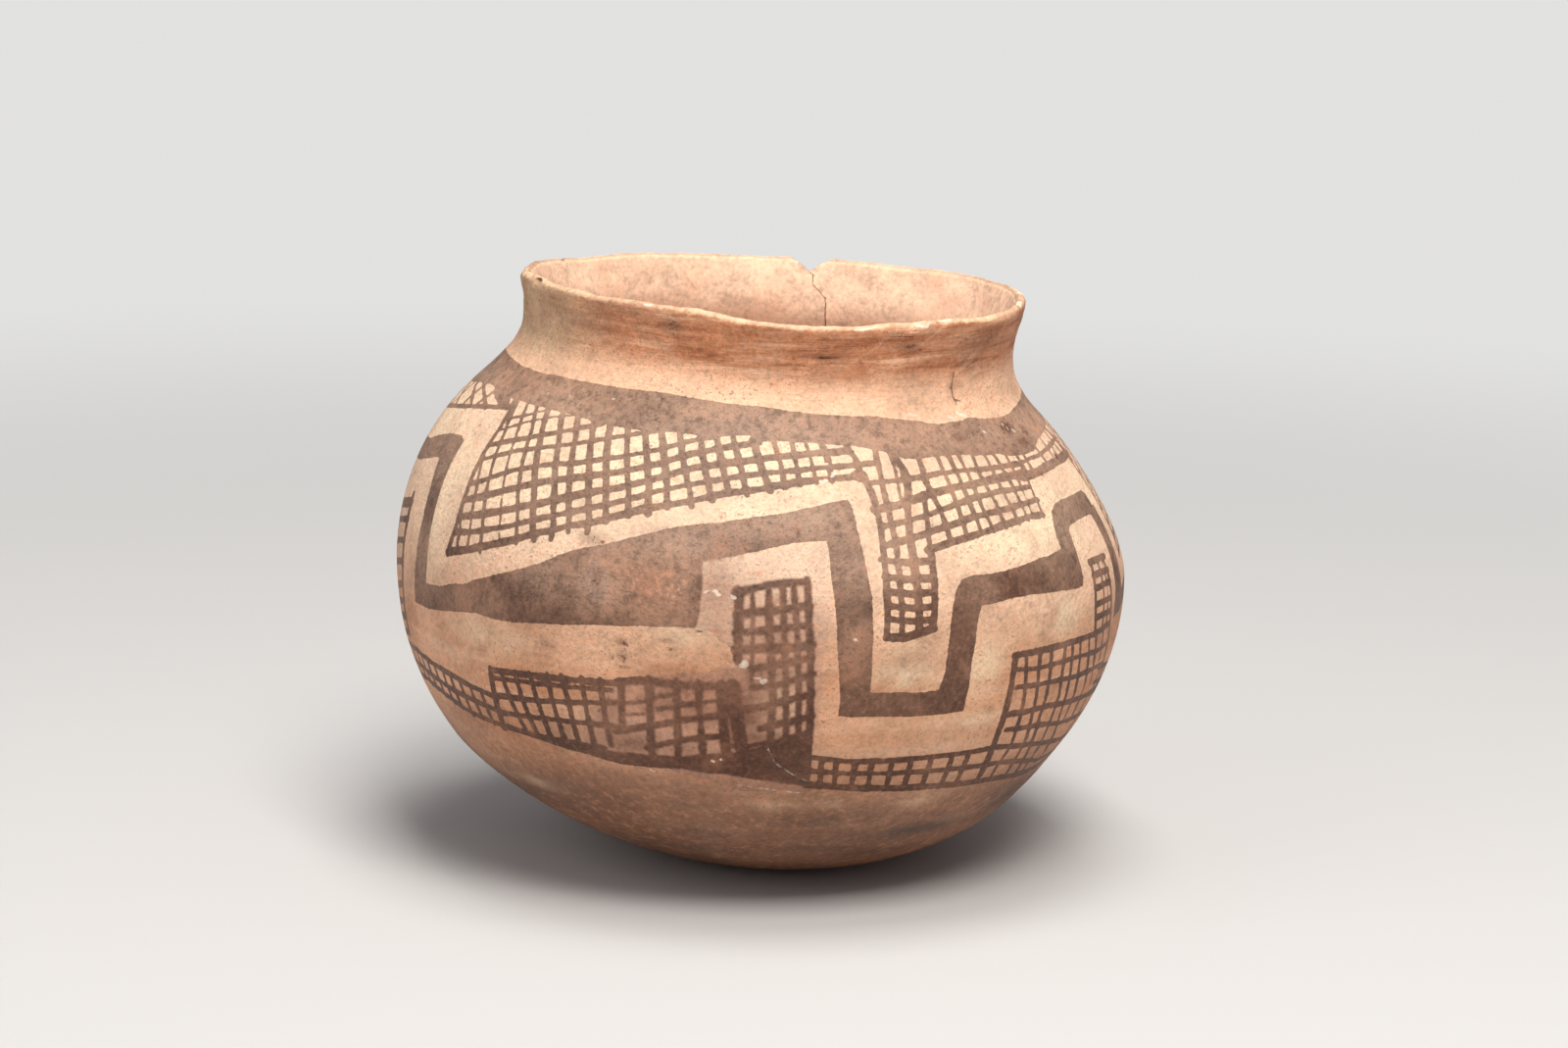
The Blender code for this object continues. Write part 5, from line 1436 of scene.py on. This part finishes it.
def sweep():
    # one sheet: flat floor, a wide curve up behind, then a wall
    half, bendAt, radius, steps = (studio[key] for key in ("sheetHalf", "bendAt", "bendRadius", "bendSteps"))
    line = [(-half, 0.0), (bendAt, 0.0)]
    for step in range(1, steps + 1):
        angle = math.radians(90.0) * step / steps
        line.append((bendAt + radius * math.sin(angle), radius - radius * math.cos(angle)))
    line.append((bendAt + radius, studio["sheetTop"]))
    vertices = [(side * half, back, up) for back, up in line for side in (-1.0, 1.0)]
    faces = [(2 * row, 2 * row + 1, 2 * row + 3, 2 * row + 2) for row in range(len(line) - 1)]
    mesh = bpy.data.meshes.new("studio_sweep")
    mesh.from_pydata(vertices, [], faces)
    mesh.shade_smooth()
    mesh.materials.append(paperFinish())
    paper = bpy.data.objects.new("studio_sweep", mesh)
    bpy.context.scene.collection.objects.link(paper)


sweep()
world = bpy.data.worlds.new("studio")
bpy.context.scene.world = world
world.use_nodes = True
# the camera alone sees the world as pale as the paper
air = Graph(world.node_tree)
glow = air.add("ShaderNodeBackground", None, (*studio["world"], 1.0), studio["worldStrength"])
paleAir = air.add("ShaderNodeBackground", None, (*studio["back"], 1.0), 1.0)
seen = air.add("ShaderNodeLightPath").out("Is Camera Ray")
air.add("ShaderNodeOutputWorld", None, air.add("ShaderNodeMixShader", None, seen, glow, paleAir))
for index, (place, size, power, colour) in enumerate(studio["lamps"]):
    lamp = bpy.data.lights.new("softbox_%d" % index, "AREA")
    lamp.size, lamp.energy, lamp.color = size, power, colour
    holder = bpy.data.objects.new(lamp.name, lamp)
    holder.location = place
    toJar = Vector(studio["lampAim"]) - Vector(place)
    holder.rotation_euler = toJar.to_track_quat("-Z", "Y").to_euler()
    bpy.context.scene.collection.objects.link(holder)


# The camera stands where the photograph was taken from
shot = {
    "place": (-0.0029, -1.0774, 0.2969), "yaw": 0.00247, "pitch": 0.1929, "roll": math.radians(1.4),
    "lens": 96.5, "sensor": 36.0,
}
cosPitch, sinPitch = math.cos(shot["pitch"]), math.sin(shot["pitch"])
forward = Vector((math.sin(shot["yaw"]) * cosPitch, math.cos(shot["yaw"]) * cosPitch, -sinPitch))
levelRight = Vector((math.cos(shot["yaw"]), -math.sin(shot["yaw"]), 0.0))
levelUp = levelRight.cross(forward)
cameraRight = levelRight * math.cos(shot["roll"]) + levelUp * math.sin(shot["roll"])
cameraUp = levelUp * math.cos(shot["roll"]) - levelRight * math.sin(shot["roll"])
camera = bpy.data.objects.new("camera", bpy.data.cameras.new("camera"))
camera.data.lens, camera.data.sensor_width = shot["lens"], shot["sensor"]
turned = Matrix((cameraRight, cameraUp, -forward)).transposed().to_4x4()
camera.matrix_world = Matrix.Translation(shot["place"]) @ turned
bpy.context.scene.collection.objects.link(camera)
bpy.context.scene.camera = camera
bpy.context.scene.view_settings.view_transform = "Standard"
print("studio and camera are set")
